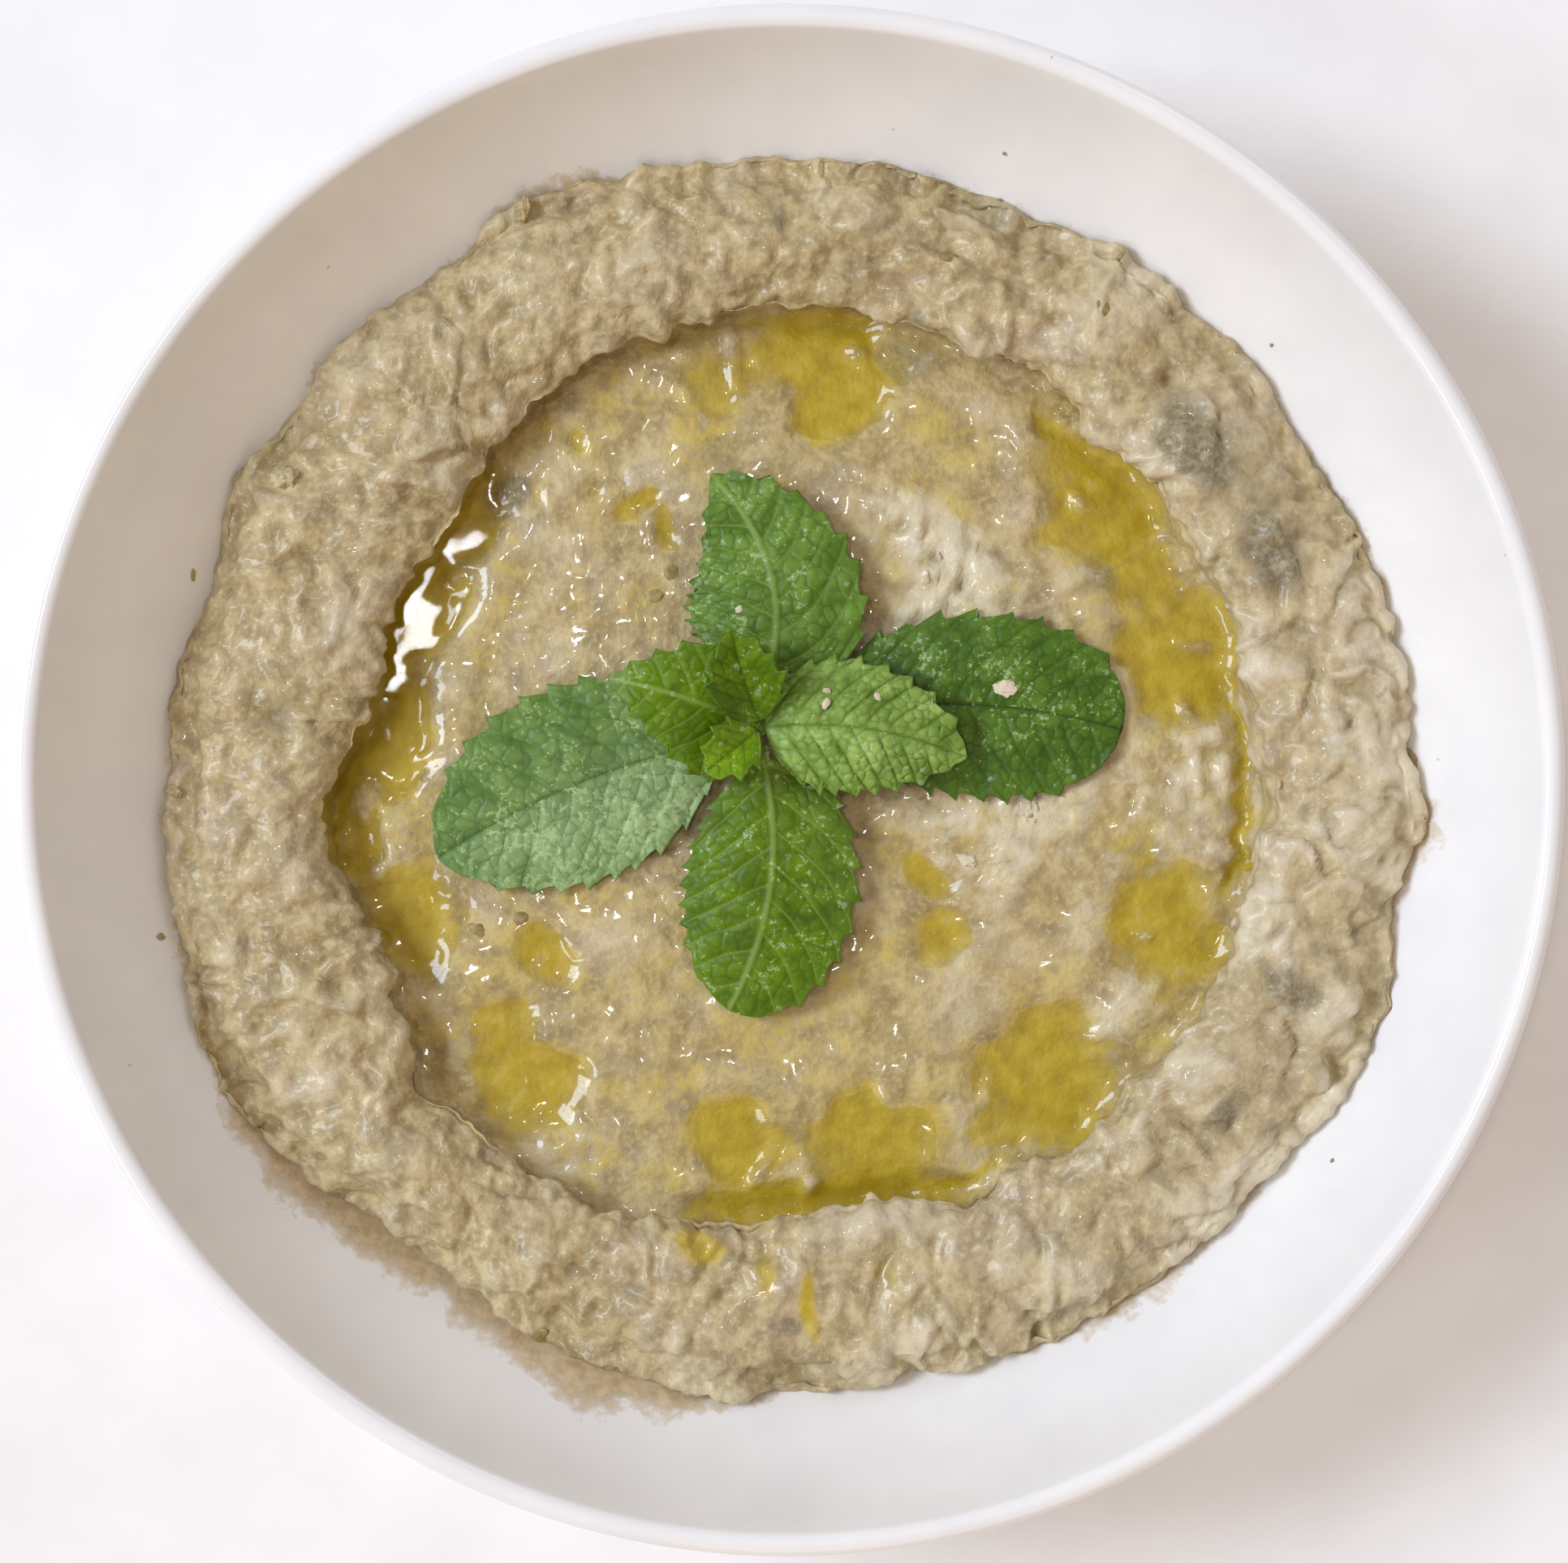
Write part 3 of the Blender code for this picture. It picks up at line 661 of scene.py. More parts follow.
oil_share = node("Math", {0: stain, 1: pool_part}, operation="ADD")
over_grey = node("Math", {0: grey_part, 1: -0.8, 2: 1.0}, operation="MULTIPLY_ADD")
oil_part = node("Math", {0: oil_share, 1: over_grey}, operation="MULTIPLY")
colour = body
for part, over in (
    (pink_part, pink), (dark_part, "#97875F"), (pale_part, "#E0D3AA"), (pale_and_lit_part, "#E6DCC0"),
    (hollow_shade_part, "#8C7B55"), (grey_part, burnt), (oil_part, deepened),
):
    colour = node("Mix", {0: part, 6: colour, 7: over}, data_type="RGBA")
dull = node("MapRange", {"Value": ringed, "To Min": 0.36, "To Max": 0.42})
spread = node("Math", {0: grain, 1: 0.25, 2: dull}, operation="MULTIPLY_ADD")
wet = node("MapRange", {"Value": oil, "From Min": 0.10, "From Max": 0.55, "To Min": 0.30, "To Max": 1.0})
fine = node("Math", {0: clump, 1: 1.6, 2: grain}, operation="MULTIPLY_ADD")
relief = node("Bump", {"Height": fine, "Distance": 0.26 * MM, "Strength": 0.9})
wet_pulp = node("BsdfPrincipled", {
    "Base Color": colour, "Roughness": spread, "IOR": 1.42, "Normal": relief, "Coat Weight": wet,
    "Coat Roughness": 0.07, "Coat IOR": 1.45,
})
node("OutputMaterial", {"Surface": wet_pulp})
dip = add_piece("mashed_aubergine", bm, pulp, replaces="baba_ganoush")

# %% [markdown]
# ## Olive oil
# Oil finds its own level, so the pools are flat sheets laid across the well's edge, and the pulp that rises
# out of them draws their shores, as in the bowl. Against every lump and against the ring the oil climbs by a
# fraction of a millimetre. That curl is what catches thin bright lines, so each point of a sheet is lifted
# by how near the pulp is, and a little more on the side where the oil stands deeper.
# %% Clear olive oil
# Extra virgin oil, poured: a golden film through which the pulp shows, with a hard liquid gloss.
olive_oil, node, place = new_material("extra virgin olive oil, poured")
swirl = node("TexNoise", {"Vector": place, "Scale": 1 / (6 * MM), "Detail": 2.0})
gold = node("ValToRGB", {0: swirl}, stops=((0.3, "#B49A10"), (0.7, "#C4AA22")))
ripple = node("Bump", {"Height": swirl, "Distance": 0.04 * MM, "Strength": 0.2})
film_of_oil = node("BsdfPrincipled", {
    "Base Color": gold, "Roughness": 0.03, "IOR": 1.47, "Alpha": 0.16, "Normal": ripple,
})
node("OutputMaterial", {"Surface": film_of_oil})

# %% Sheets of oil
OIL_LEVEL = 22.1 * MM
OIL_DEPTH = 1.3 * MM
OIL_CURL = 0.17 * MM
OIL_CLIMB = 0.55 * MM  # how far it is drawn up a wall
OIL_CLIMB_EAST = 0.25 * MM  # and how much further on the east side
STEEP = 0.6  # a face is a wall where its normal rises by less
OIL_WAVE = 0.13  # mm
OIL_WAVE_LENGTH = 9 * MM
OIL_DIVE = 0.9 * MM  # how far a sheet's free ends dip under the pulp
RING_TUCK = 3.0 * MM  # how far the sheets run on under the ring, and the points are closer there
OIL_POINT = 0.45 * MM
# Each pool's sheet: its first and last degree, and the radii it reaches from and to, in mm.
OIL_SHEETS = {
    "oil_pool_east": (-4, 33, 42, 64),
    "oil_pool_north_east": (33.2, 60, 45, 65),
    "oil_pool_north": (66, 112, 44, 66),
    "oil_pool_north_west": (114, 167.9, 46, 64),
    "oil_pool_west": (168.1, 194.4, 44, 64),
    "oil_pool_south_west": (194.6, 213, 43, 64),
    "oil_pool_south_south_west": (215, 243, 43, 66),
    "oil_pool_south": (252, 296, 40, 64),
    "oil_pool_south_east": (297, 325, 40, 66),
    "oil_pool_east_south_east": (326, 352, 43, 66),
}
pulp_surface = bvhtree.BVHTree.FromObject(dip, bpy.context.evaluated_depsgraph_get())


def oil_surface(x, y, level):
    """Where the oil's skin is over that point: still, but drawn up wherever pulp breaks through it."""
    spot = Vector((x, y, level))
    wave = OIL_WAVE * noise.noise(spot / OIL_WAVE_LENGTH) * MM
    below = pulp_surface.ray_cast(Vector((x, y, level + 2 * MM)), Vector((0, 0, -1)), 3.5 * MM)[0]
    rise = 0.0
    if below:
        above = below.z - 0.04 * MM - level
        rise = OIL_CURL * math.log1p(math.exp(max(-9, min(9, above / OIL_CURL))))
    _, normal, _, near = pulp_surface.find_nearest(spot)
    if abs(normal.z) < STEEP:
        climb = OIL_CLIMB + OIL_CLIMB_EAST * x / RING_INNER
        rise = max(rise, climb * math.exp(-near / climb))
    return level + wave + rise


sides = [edge for sheet in OIL_SHEETS.values() for edge in sheet[:2]]
for name, (first, last, low, high) in OIL_SHEETS.items():
    bm = bmesh.new()
    joined = [sum(abs(edge - side) < 0.5 for side in sides) > 1 for edge in (first, last)]
    span = math.radians(last - first) * high * MM
    bmesh.ops.create_grid(
        bm, x_segments=int(span / OIL_POINT), y_segments=int((high - low) * MM / OIL_POINT), size=1
    )
    for vert in bm.verts:
        turn = math.radians(first + (last - first) * (vert.co.x + 1) / 2)
        ring_side = float(inner_edge(math.degrees(turn) % 360)) + RING_TUCK
        reach = low * MM + (ring_side - low * MM) * (1 - ((1 - vert.co.y) / 2) ** 1.8)
        x, y = reach * math.cos(turn), reach * math.sin(turn)
        ends = (-vert.co.x * (not joined[0]), vert.co.x * (not joined[1]), -vert.co.y, 0)
        vert.co = (x, y, oil_surface(x, y, OIL_LEVEL) - OIL_DIVE * max(ends) ** 8)
    close_below(bm, lambda place: OIL_LEVEL - OIL_DEPTH)
    add_piece(f"olive_{name}", bm, olive_oil, replaces=name)

# %% Spots of oil in the pulp's hollows
SPOT_SINK = 0.30 * MM
SPOT_DEPTH = 1.5 * MM
SPOT_DIVE = 0.7 * MM
bm = bmesh.new()
for degrees_at, radius_at, along, across, _ in OIL_SPOTS:
    spot = bmesh.new()
    bmesh.ops.create_grid(spot, x_segments=26, y_segments=26, size=1)
    turn = math.radians(degrees_at)
    level = float(well_z(radius_at * MM)) - SPOT_SINK
    for vert in spot.verts:
        x, y = vert.co.x, vert.co.y
        out = (radius_at + x * math.sqrt(1 - y * y / 2) * across * 1.5) * MM
        side = y * math.sqrt(1 - x * x / 2) * along * 1.5 * MM
        x = out * math.cos(turn) - side * math.sin(turn)
        y = out * math.sin(turn) + side * math.cos(turn)
        edge = math.hypot((out / MM - radius_at) / across, side / MM / along) / 1.5
        vert.co = (x, y, oil_surface(x, y, level) - SPOT_DIVE * min(1, edge) ** 6)
    close_below(spot, lambda place: level - SPOT_DEPTH)
    join(bm, spot)
add_piece("olive_oil_spots", bm, olive_oil)

# %% [markdown]
# ## The sprig of mint
# Mint leaves grow in crossed pairs. Each leaf is one sheet: a toothed outline round a bowed midrib, hung over
# its length like a ribbon, then quilted. Side veins leave the midrib at about 45 degrees, a net of small veins
# fills the rest, and the leaf puffs up in every mesh of that net. How near the veins are gives both the relief,
# which is moved in the mesh, and a map of the veins for the colour. A Solidify modifier gives the thickness.
# %% The leaves
SPRIG = Vector((-3.5, 7.0, 0)) * MM
LEAF_THICKNESS = 0.45 * MM
PETIOLE_WIDTH = 1.6 * MM
TOOTH = 1.6 * MM
# Each leaf: its tip from the sprig's axis, where its petiole and blade start along that line, its width, how
# far the midrib bows to its left, the heights of its base, middle and tip over the well, how far its edges
# stand above the midrib, its teeth, how fast it widens from its base and narrows to its tip, how deeply it is
# quilted, the spacing of its side veins and of its net, whether its midrib stands up (1) or is sunk (-1), how
# much painted sheen and how many pale freckles it has, and the greens of its blade and of the painted shade in
# its sunken veins and net. Lengths are in mm.
LEAF_FACTS = (
    "tip", "start", "blade", "width", "bow", "lift", "edges", "teeth", "grow", "fade", "quilt", "veins", "net",
    "rib", "freckles_and_painted_sheen", "dark", "light", "painted_crease_shade",
)
LEAF_ROWS = {
    "mint_leaf_left": (
        (-43.5, -17.4), 2.2, 3.5, 25.6, -2.2, (1.8, 2.6, 1.2), -0.9, 10, 0.62, 0.66, 0.42, 5.6, 2.3,
        -1, 1.0, "#4F702C", "#78984A", "#35541C",
    ),
    "mint_leaf_right": (
        (48, -0.2), 2.2, 6.5, 23.6, 3.2, (1.6, 2.8, 1.2), -0.9, 10, 0.50, 0.42, 0.55, 4.8, 2.0,
        -1, 0.35, "#3A5C14", "#5E8226", "#26400C",
    ),
    "mint_leaf_top": (
        (-6.8, 33.8), 2.4, 3, 22.4, -5.2, (4.2, 5.6, 3.2), -1.3, 10, 0.46, 0.88, 0.60, 4.6, 2.0,
        1, 0.35, "#4A6C1A", "#74963A", "#2F4C0C",
    ),
    "mint_leaf_bottom": (
        (-4.4, -37.6), 2.4, 2, 22.0, 3.6, (4.2, 5.4, 3.2), -1.5, 10, 0.52, 0.50, 0.42, 4.8, 2.2,
        1, 0.35, "#466404", "#6A8A0A", "#345004",
    ),
    "mint_young_right": (
        (27.0, -4.0), 0.3, 0.3, 16.8, 1.8, (6.6, 9.4, 5.6), -2.0, 9, 0.46, 0.78, 1.1, 3.2, 1.5,
        -1, 0.25, "#608028", "#A0C060", "#486818",
    ),
    "mint_young_left": (
        (-20.2, 6.4), 0.5, 0.3, 17.6, -0.6, (6.6, 9.8, 8.8), 0.9, 6, 0.24, 0.95, 0.5, 3.6, 2.2,
        1, 0.0, "#4A6A00", "#6C8E02", "#3A5800",
    ),
    "mint_bud_top": (
        (-4.0, 12.5), 0.8, 0.3, 9.0, 0.3, (8.2, 11.8, 14.0), 2.6, 4, 0.5, 0.85, 0.6, 2.4, 1.5,
        -1, 0.0, "#4C6A04", "#6A8C0A", "#344E02",
    ),
    "mint_bud_bottom": (
        (-7.4, -6.0), 0.8, 0.3, 6.4, 0, (8.2, 10.8, 11.6), 1.6, 3, 0.5, 0.8, 0.4, 2.2, 1.4,
        -1, 0.0, "#5C8006", "#88AC14", "#3E5C04",
    ),
}
LEAVES = {name: dict(zip(LEAF_FACTS, row)) for name, row in LEAF_ROWS.items()}
LEAF_POINT = 0.22 * MM  # how far apart a leaf's points are


def half_width(leaf, blade):
    """Half a leaf's width, without teeth, that share of the way along its blade."""
    petiole = PETIOLE_WIDTH / 2 * (1 - 0.8 * max(blade, 0))
    if not 0 < blade < 1:
        return petiole
    grow, fade = leaf["grow"], leaf["fade"]
    widest = grow / (grow + fade)
    full = widest**grow * (1 - widest) ** fade
    return max(petiole, leaf["width"] * MM / 2 * blade**grow * (1 - blade) ** fade / full)


def veins(leaf, x, y, seed):
    """How near side veins and the net are, as shares of their spacing, x along and y across the blade in mm."""
    sway = 0.14 * noise.noise(Vector((x / 5, y / 5, seed)))
    aside = abs(y)
    side = (x - 0.60 * aside - 0.032 * aside**2) / leaf["veins"] + (0.5 if y < 0 else 0.0) + sway
    to_side = abs(side - round(side))
    near, second = noise.voronoi(Vector((x, y, seed)) / leaf["net"])[0][:2]
    return to_side, second - near


def make_leaf(leaf, seed):
    """The leaf as one sheet, a bmesh with maps of its veins, margin, painted sheen and freckles, and net."""
    tip = Vector((*leaf["tip"], 0)) * MM
    along = tip.normalized()
    aside = Vector((-along.y, along.x, 0))
    start = leaf["start"] * MM
    length = tip.length - start
    blade_start = leaf["blade"] * MM / length
    rows = int(length / LEAF_POINT)
    columns = int(leaf["width"] * MM / LEAF_POINT)
    bm = bmesh.new()
    bmesh.ops.create_grid(bm, x_segments=columns, y_segments=rows, size=1)
    maps = []
    base, middle, end = leaf["lift"]
    control = 2 * middle - (base + end) / 2
    for vert in bm.verts:
        across, share = vert.co.x, (vert.co.y + 1) / 2
        blade = (share - blade_start) / (1 - blade_start)
        phase = blade * leaf["teeth"] + (0.45 if across < 0 else 0) + 0.25 * noise.noise(Vector((blade * 4, seed, 0)))
        open_blade = min(1, max(0, blade * 5)) * min(1, max(0, (1 - blade) * 10))
        tooth = TOOTH * (phase % 1) ** 2 * open_blade * (0.8 + 0.4 * noise.noise(Vector((phase // 1, seed, 4))))
        edge = half_width(leaf, blade)
        spread = across * edge + math.copysign(tooth * abs(across) ** 6, across)
        bow = leaf["bow"] * MM * 4 * share * (1 - share)
        slope = leaf["bow"] * MM * 4 * (1 - 2 * share) / length
        point = SPRIG + along * (start + length * share) + aside * bow + (aside - along * slope).normalized() * spread
        x, y = blade * length / MM, spread / MM
        to_side, to_net = veins(leaf, x, y, seed)
        in_blade = min(1, max(0, blade * 10)) * min(1, max(0, (edge / MM - 0.8) / 2))
        puff = (1 - math.exp(-((to_side / 0.13) ** 2))) * (1 - 0.55 * math.exp(-((to_net / 0.16) ** 2)))
        relief = 0.6 * leaf["quilt"] * (puff * (1 - math.exp(-((y / 1.2) ** 2))) - 0.5) * in_blade
        relief += math.exp(-((y / 0.4) ** 2)) * (0.25 if leaf["rib"] > 0 else -0.35) * in_blade
        wave = 0.4 * noise.noise(Vector((x / 7, y / 7, seed + 9))) + 0.5 * abs(across) ** 3 * noise.noise(
            Vector((x / 3.2, math.copysign(3, y), seed + 12))
        )
        lift = base * (1 - share) ** 2 + control * 2 * share * (1 - share) + end * share**2
        edges = leaf["edges"] * (spread / (leaf["width"] * MM / 2)) ** 2
        point.z = float(well_z(point.xy.length)) + (lift + edges + relief + wave * in_blade) * MM
        vert.co = point
        lines = max(math.exp(-((y / 0.24) ** 2)), 0.75 * math.exp(-((to_side * leaf["veins"] / 0.20) ** 2)))
        # How much painted sheen and how many pale freckles this point gets: more on the half to the left of the
        # midrib, less towards the tip.
        freckles_and_painted_sheen = leaf["freckles_and_painted_sheen"] * (0.65 + 0.35 * math.tanh(spread / (4 * MM))) * (1.1 - 0.5 * share**3)
        net = math.exp(-((to_net / 0.085) ** 2))
        maps.append((lines if blade > 0 else 1.0, abs(across) ** 6, freckles_and_painted_sheen, net))
    keep_maps(bm, **dict(zip(("vein", "margin", "freckles_and_painted_sheen", "net"), zip(*maps))))
    return bm


# %% [markdown]
# A mint leaf is waxy green over a quilted sheet, a little see-through, with paler veins on some leaves. The
# creases of its net, and the sunken veins of others, are painted darker: painted shade. Old leaves are a deep
# green, and young ones yellow-green. Pale freckles lie on some, partly left by oil and dip and partly painted
# glints, under a paler green that is painted sheen, most on the left leaf's lower half. Each leaf has its own
# mix of these, so one function makes the finish from the leaf's own numbers.
# %% Mint leaf
SEED_STEP = 17.3  # how far apart the leaves are read in the noise


def mint_finish(name, leaf):
    """The finish of that leaf, in its own greens."""
    made, node, place = new_material(f"{name.replace('_', ' ')}, picked")
    vein, margin, net, sheen_and_freckle_amount = (
        node("Attribute", attribute_name=key).outputs["Fac"] for key in ("vein", "margin", "net", "freckles_and_painted_sheen")
    )
    cloud, fine, freckle, drift = (
        node("TexNoise", {"Vector": place, "Scale": 1 / (size * MM), "Detail": detail, "Roughness": rough})
        for size, detail, rough in ((4, 4.0, 0.6), (0.5, 3.0, 0.5), (0.8, 3.0, 0.7), (4, 2.0, 0.5))
    )
    # A paler green over the leaf, most where it is freckled: painted sheen.
    painted_sheen = node("MapRange", {"Value": sheen_and_freckle_amount, "From Min": 0.32, "From Max": 1.0, "To Max": 0.55})
    # Pale freckles in patches, partly residue of dip and oil and partly painted glints.
    patchy = node("Math", {0: drift, 1: 0.45, 2: freckle}, operation="MULTIPLY_ADD")
    level = node("Math", {0: sheen_and_freckle_amount, 1: 0.12, 2: patchy}, operation="MULTIPLY_ADD")
    freckles_and_painted_sheen = node("MapRange", {"Value": level, "From Min": 0.86, "From Max": 0.94, "To Max": 0.75})
    # The net's creases are painted darker on every leaf, and so are the midrib and side veins where the midrib is
    # sunk: painted shade.
    painted_crease_shade, line, rim = (
        node("Math", {0: share, 1: most}, operation="MULTIPLY")
        for share, most in ((net, 0.5), (vein, 0.75), (margin, 0.3))
    )
    colour = node("ValToRGB", {0: cloud}, stops=((0.32, leaf["dark"]), (0.68, leaf["light"])))
    line_colour = "#86A045" if leaf["rib"] > 0 else leaf["painted_crease_shade"]
    for part, over in (
        (painted_sheen, "#A4C088"), (painted_crease_shade, leaf["painted_crease_shade"]), (line, line_colour), (freckles_and_painted_sheen, "#AEC68C"), (rim, "#6C8E30")
    ):
        colour = node("Mix", {0: part, 6: colour, 7: over}, data_type="RGBA")
    satin = node("MapRange", {"Value": fine, "To Min": 0.30, "To Max": 0.50})
    pores = node("Bump", {"Height": fine, "Distance": 0.05 * MM, "Strength": 0.6})
    wax = node("BsdfPrincipled", {
        "Base Color": colour, "Roughness": satin, "IOR": 1.42, "Normal": pores, "Specular IOR Level": 0.3,
    })
    node("OutputMaterial", {"Surface": wax})
    return made


leaf_pieces = {}
for seed, (name, leaf) in enumerate(LEAVES.items()):
    sheet = make_leaf(leaf, seed * SEED_STEP)
    piece = add_piece(f"{name}_sheet", sheet, mint_finish(name, leaf), replaces=name)
    thick = piece.modifiers.new("thickness", "SOLIDIFY")
    thick.thickness = LEAF_THICKNESS
    thick.offset = 0
    leaf_pieces[name] = piece

# %% [markdown]
# ## The stalk
# The sprig's stalk stands in the pulp and holds the crossed pairs apart. Only its cut top shows between the
# youngest leaves, so it is a plain tapered rod with the four blunt corners every mint stalk has.
# %% The stalk
stalk_green, node, place = new_material("mint stalk, snapped off")
fibres = node("TexNoise", {"Vector": place, "Scale": 1 / (0.6 * MM), "Detail": 3.0})
green = node("ValToRGB", {0: fibres}, stops=((0.35, "#5F7F14"), (0.65, "#8AA63A")))
hairs = node("Bump", {"Height": fibres, "Distance": 0.08 * MM, "Strength": 0.6})
rind = node("BsdfPrincipled", {"Base Color": green, "Roughness": 0.5, "IOR": 1.42, "Normal": hairs})
node("OutputMaterial", {"Surface": rind})
STALK_RADIUS = 1.2 * MM
STALK_FOOT = 20.0 * MM
STALK_TOP = 29.5 * MM
bm = bmesh.new()
bmesh.ops.create_cone(
    bm, cap_ends=True, segments=32, radius1=STALK_RADIUS, radius2=STALK_RADIUS * 0.75, depth=STALK_TOP - STALK_FOOT
)
bmesh.ops.subdivide_edges(
    bm, edges=[edge for edge in bm.edges if abs(edge.verts[0].co.z - edge.verts[1].co.z) > MM], cuts=12
)
for vert in bm.verts:
    corner = 1 + 0.12 * math.cos(4 * math.atan2(vert.co.y, vert.co.x))
    lean = 0.6 * MM * (vert.co.z / STALK_TOP) ** 2
    height = vert.co.z + (STALK_TOP + STALK_FOOT) / 2
    vert.co = (vert.co.x * corner + SPRIG.x + lean, vert.co.y * corner + SPRIG.y, height)
add_piece("mint_stalk", bm, stalk_green, replaces="mint_stem", sharp=60)

# %% [markdown]
# ## What the spoon left on the bowl
# Where the dip was wiped round, a thin smear of it stays on the glaze. It is a skirt that hugs the wall, and
# its thickness is noise that falls off up the wall. The glaze shows through where it is thin, so the smear
# fades out in a ragged edge and leaves small islands by itself. Past its edge the skirt dives under the glaze.
# %% Smears on the wall
SMEAR_REACH = 7.0 * MM
SMEAR_TUCK = 2.5 * MM  # how far it starts under the ring
SMEAR_BACK = -0.9 * MM  # where it ends on most of the wall: hidden by the ring
# Where it spreads further, as (degrees, mm, half width in degrees).
SMEARS = (
    (240, 3.8, 16), (255, 3.0, 10), (225, 3.4, 10), (303, 2.0, 12), (113, 2.6, 5), (137, 1.4, 5), (355, 2.4, 4),
    (215, 1.2, 8), (30, 1.2, 12), (187, 1.4, 8),
)
SMEAR_SINK = 0.6 * MM  # how far its underside lies in the glaze
AROUND = 1300
bm = bmesh.new()
bmesh.ops.create_grid(bm, x_segments=AROUND, y_segments=18, size=1)
turn = np.array([(vert.co.x + 1) * math.pi for vert in bm.verts])
up = np.array([(vert.co.y + 1) / 2 for vert in bm.verts])
edge_here = outline(np.degrees(turn), RING_OUTER, OUTER_BULGES)
reach_here = edge_here - SMEAR_TUCK + up * (SMEAR_REACH + SMEAR_TUCK)
spread = outline(np.degrees(turn), SMEAR_BACK, SMEARS)
flat = [Vector((r * math.cos(a), r * math.sin(a), 0)) for r, a in zip(reach_here, turn)]
ragged_edge = 1.5 * grained(flat, 6 * MM, 33.0) + 0.8 * grained(flat, 2.2 * MM, 35.0) + 0.6 * grained(flat, MM, 36.0)
left_over = (spread - (reach_here - edge_here)) / MM + ragged_edge
thick = np.clip((left_over + 1.5) * 0.05, -0.25, 0.16) * MM + 0.02 * MM * grained(flat, 1.2 * MM, 37.0)
wall = np.array([wall_z(r) for r in reach_here])
for vert, r, a, z in zip(bm.verts, reach_here, turn, wall + thick):
    vert.co = (r * math.cos(a), r * math.sin(a), z)
keep_maps(bm, left=left_over)
bmesh.ops.remove_doubles(bm, verts=bm.verts[:], dist=0.001 * MM)
close_below(bm, lambda place: wall_z(place.xy.length) - SMEAR_SINK)

# %% [markdown]
# The film is thin enough for the white glaze to show through, so it is paler and warmer than the dip.
# %% Wiped dip
thin_dip, node, place = new_material("mashed aubergine, wiped thin over the glaze")
left = node("Attribute", attribute_name="left").outputs["Fac"]
streaks = node("TexNoise", {"Vector": place, "Scale": 1 / (1.6 * MM), "Detail": 3.0, "Roughness": 0.6})
tan = node("ValToRGB", {0: streaks}, stops=((0.35, "#CBB288"), (0.65, "#E6D2AC")))
worn = node("Math", {0: streaks, 1: 5.0, 2: left}, operation="MULTIPLY_ADD")
cover = node("MapRange", {"Value": worn, "From Min": 1.6, "From Max": 4.4, "To Max": 0.85})
grit = node("Bump", {"Height": streaks, "Distance": 0.08 * MM, "Strength": 0.5})
wiped = node("BsdfPrincipled", {
    "Base Color": tan, "Roughness": 0.4, "IOR": 1.42, "Alpha": cover, "Normal": grit,
})
node("OutputMaterial", {"Surface": wiped})
add_piece("dip_smeared_on_the_wall", bm, thin_dip)

# %% [markdown]
# ## Crumbs, seeds and drops
# Small things are set down one by one where they lie, as an angle and a radius. A ray cast straight down
# finds the surface under each, whether dip, leaf or bowl, and the thing is turned to lie on it and sunk a
# little so that it never floats.
# %% Setting things down
ready = bpy.context.evaluated_depsgraph_get()
surfaces = [bvhtree.BVHTree.FromObject(piece, ready) for piece in (dip, bowl, *leaf_pieces.values())]


def ground(x, y):
    """The highest point of the food or bowl there, and which way its surface faces."""
    hits = [tree.ray_cast(Vector((x, y, 0.08)), Vector((0, 0, -1))) for tree in surfaces]
    return max(((hit[0], hit[1]) for hit in hits if hit[0]), key=lambda hit: hit[0].z)


def set_down(bm, part, degrees_at, radius_at, sink, spin):
    """Moves the part, a bmesh made round the origin, onto the surface there and joins it to bm."""
    turn = math.radians(degrees_at)
    place, normal = ground(radius_at * MM * math.cos(turn), radius_at * MM * math.sin(turn))
    lie = Vector((0, 0, 1)).rotation_difference(normal).to_matrix().to_4x4()
    lie = lie @ Matrix.Rotation(math.radians(spin), 4, "Z")
    bmesh.ops.transform(part, matrix=Matrix.Translation(place - normal * sink * MM) @ lie, verts=part.verts[:])
    join(bm, part)


# %% Crumbs of dip: (degrees, radius, length, width, height, tone), all lengths in mm, tone -1 white to 1 oily
CRUMBS = (
    (149, 77.8, 3.4, 2.7, 1.7, -0.25), (151, 83.7, 2.6, 1.1, 0.5, 0.8), (161, 84.1, 1.6, 0.7, 0.3, 0.3),
    (181, 81.6, 2.2, 1.4, 0.4, 0.2), (194, 86.1, 1.2, 0.9, 0.7, 0.1), (58, 82.7, 2.0, 1.3, 0.6, 0.3),
    (71, 87.8, 0.5, 0.5, 0.4, 1.0), (70, 82.5, 0.6, 0.5, 0.4, 1.0), (42, 86.4, 0.6, 0.5, 0.4, 1.0),
    (325, 87.9, 0.6, 0.5, 0.4, 1.0), (354, 32.3, 4.4, 2.6, 0.6, -0.7), (336, 26.2, 2.8, 1.6, 0.6, -0.9),
    (67, 12.7, 1.3, 0.9, 0.3, -1.0), (64, 11.2, 1.5, 0.9, 0.3, -1.0), (43, 16.1, 1.2, 0.9, 0.3, -1.0),
    (23, 31.4, 3.0, 2.0, 0.35, -1.0), (106, 23.6, 1.2, 0.9, 0.3, -1.0), (115, 83.5, 3.4, 1.8, 0.7, 0.1),
    (2, 83.0, 3.2, 2.4, 1.2, 0.1),
)
bm = bmesh.new()
kinds = []
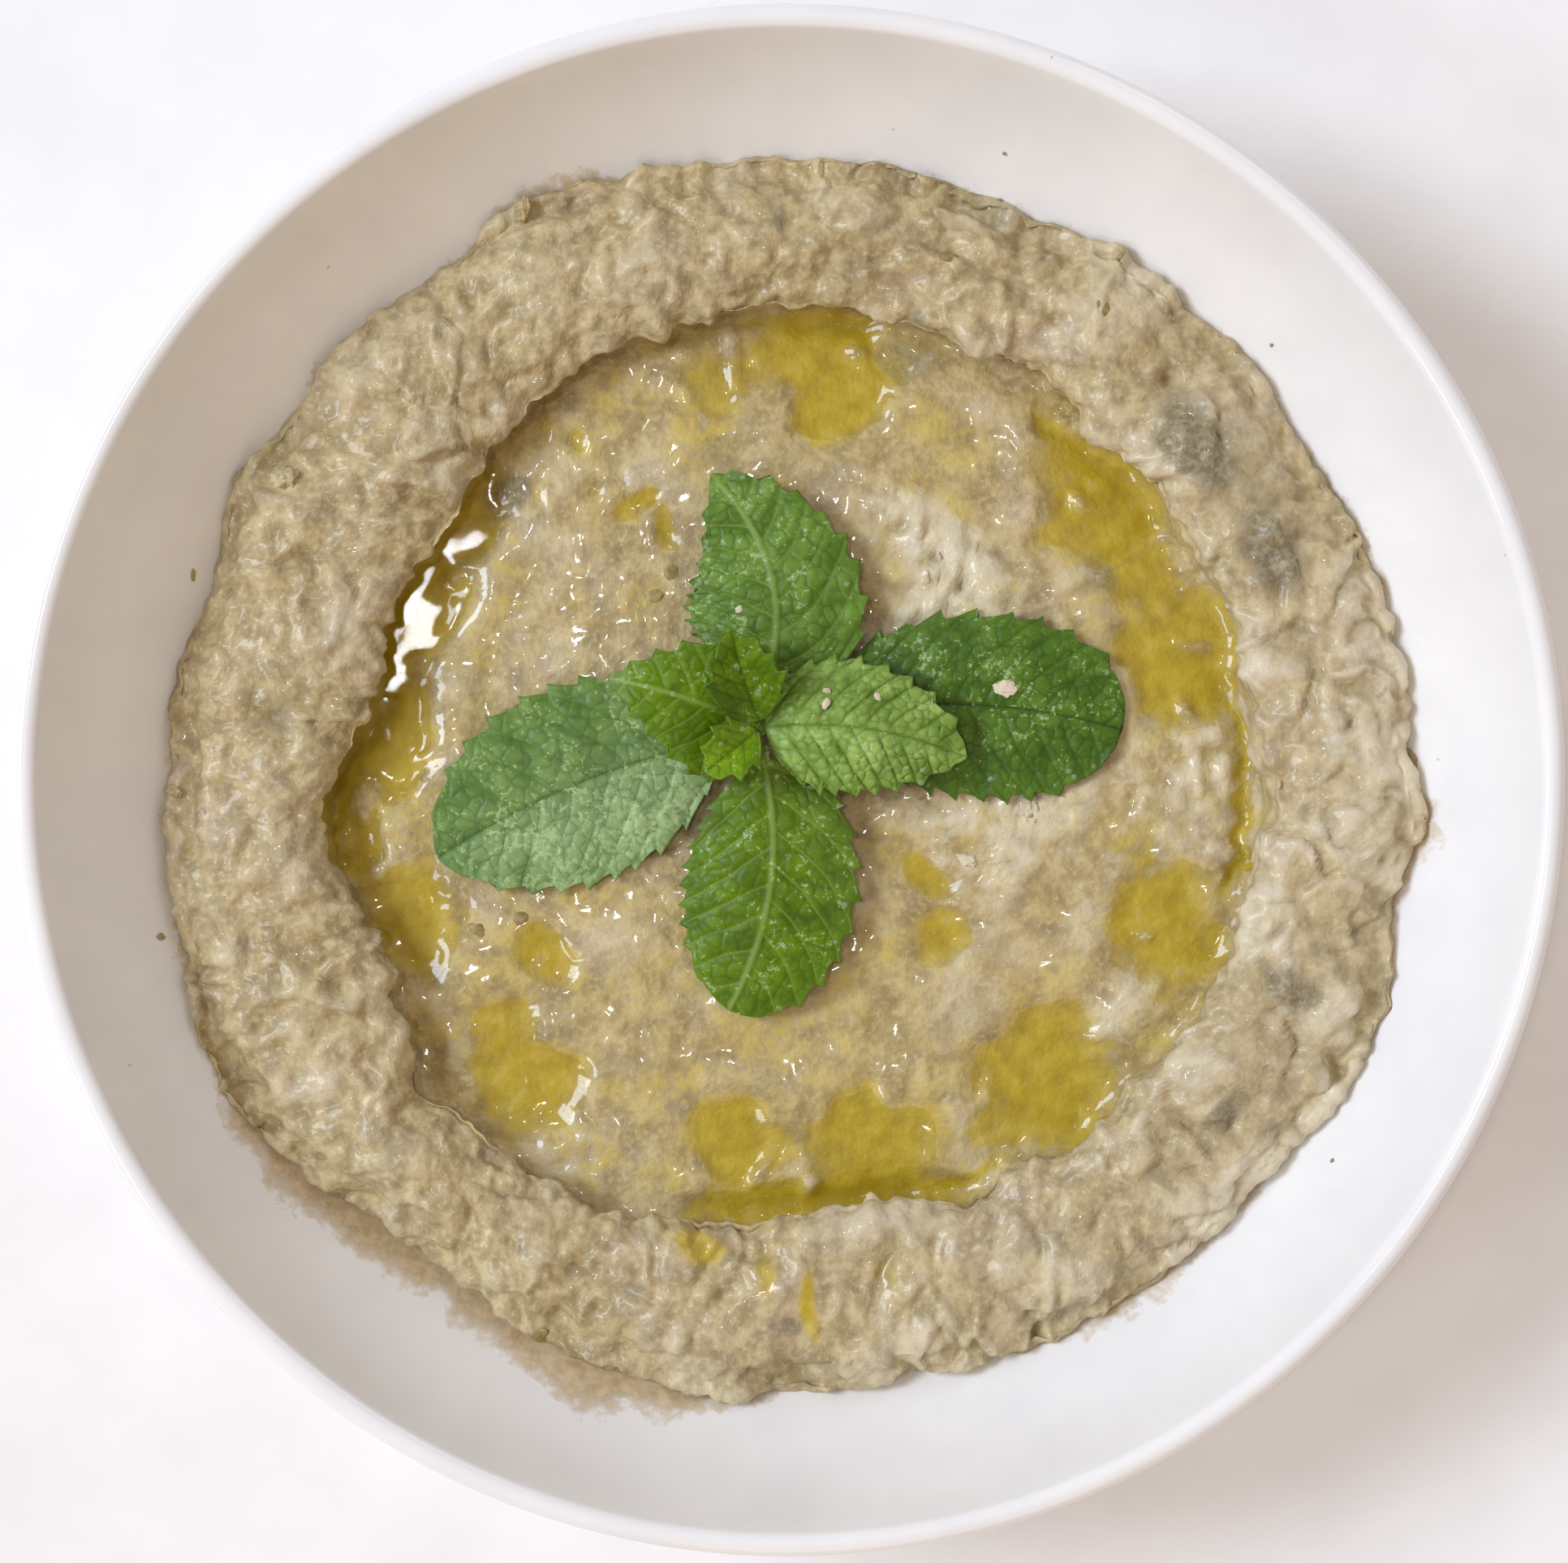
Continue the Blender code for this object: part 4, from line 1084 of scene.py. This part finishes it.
for index, (degrees_at, radius_at, long, wide, high, tone) in enumerate(CRUMBS):
    part = bmesh.new()
    bmesh.ops.create_icosphere(part, subdivisions=4, radius=1)
    for vert in part.verts:
        swell = 1 + 0.45 * noise.noise(vert.co * 1.9 + Vector((index * 5, 0, 0))) + 0.3 * noise.noise(vert.co * 4)
        vert.co = Vector((vert.co.x * long / 2, vert.co.y * wide / 2, vert.co.z * high / 2)) * swell * MM
    kinds += [tone] * len(part.verts)
    set_down(bm, part, degrees_at, radius_at, -high * 0.12, index * 47)
oily, white = np.maximum(kinds, 0), -np.minimum(kinds, 0)
keep_maps(bm, oil=0.5 * oily, char=0.7 * oily, ring=0 * oily + 1, pale=white, hollow=0 * oily)
add_piece("crumbs_of_dip", bm, pulp)

# %% [markdown]
# Aubergine seeds are flat discs with a small beak where they hung on. Roasted in the flesh they turn tan, a
# little see-through and shiny.
# %% Aubergine seeds: (degrees, radius, turned by)
SEEDS = (
    (126, 30.5, 20), (119, 32.0, 80), (206, 46.2, 150), (207, 40.6, 30), (246, 81.5, 60), (73, 72.7, 10),
    (56, 74.8, 130),
)
seed_skin, node, place = new_material("aubergine seed, roasted in its flesh")
tone = node("TexNoise", {"Vector": place, "Scale": 1 / (0.7 * MM), "Detail": 2.0})
tan = node("ValToRGB", {0: tone}, stops=((0.35, "#857442"), (0.6, "#A08C55"), (0.75, "#B3A06A")))
wrinkles = node("Bump", {"Height": tone, "Distance": 0.05 * MM, "Strength": 0.5})
coat = node("BsdfPrincipled", {"Base Color": tan, "Roughness": 0.38, "IOR": 1.45, "Normal": wrinkles})
node("OutputMaterial", {"Surface": coat})
bm = bmesh.new()
for degrees_at, radius_at, spin in SEEDS:
    part = bmesh.new()
    bmesh.ops.create_uvsphere(part, u_segments=24, v_segments=14, radius=1)
    for vert in part.verts:
        beak = 1 + 0.25 * max(0, vert.co.x) ** 6
        rim = 0.42 + 0.10 * (vert.co.x**2 + vert.co.y**2)
        vert.co = Vector((vert.co.x * 1.35 * beak, vert.co.y * 1.1, vert.co.z * rim)) * MM
    set_down(bm, part, degrees_at, radius_at, 0.28, spin)
add_piece("aubergine_seeds", bm, seed_skin)

# %% [markdown]
# A few beads of oil and water sit on the leaves, mostly along their edges, and catch the lamp. Each is a low
# dome, because oil wets the waxy leaf only partly.
# %% Beads on the leaves
beads, node, place = new_material("oil and water, beaded on the leaf")
swirl = node("TexNoise", {"Vector": place, "Scale": 1 / (2 * MM), "Detail": 1.0})
tint = node("ValToRGB", {0: swirl}, stops=((0.3, "#D8DDB8"), (0.7, "#E9ECD6")))
drop = node("BsdfPrincipled", {"Base Color": tint, "Roughness": 0.04, "IOR": 1.40, "Alpha": 0.22})
node("OutputMaterial", {"Surface": drop})
BEADS = {"mint_leaf_top": 26, "mint_leaf_left": 20, "mint_leaf_right": 16, "mint_leaf_bottom": 12}
bm = bmesh.new()
for name, count in BEADS.items():
    sheet = leaf_pieces[name].data
    margin = sheet.attributes["margin"].data
    outer = [v.co.copy() for v in sheet.vertices if 0.25 < margin[v.index].value < 0.9]
    for spot in random.sample(outer, count):
        part = bmesh.new()
        bmesh.ops.create_uvsphere(part, u_segments=12, v_segments=8, radius=1)
        size = random.uniform(0.22, 0.55)
        bmesh.ops.scale(part, vec=Vector((size, size * random.uniform(0.6, 1), size * 0.5)) * MM, verts=part.verts[:])
        turn, reach = math.degrees(math.atan2(spot.y, spot.x)), spot.xy.length / MM
        set_down(bm, part, turn, reach, 0.0, random.uniform(0, 360))
add_piece("beads_on_the_leaves", bm, beads)
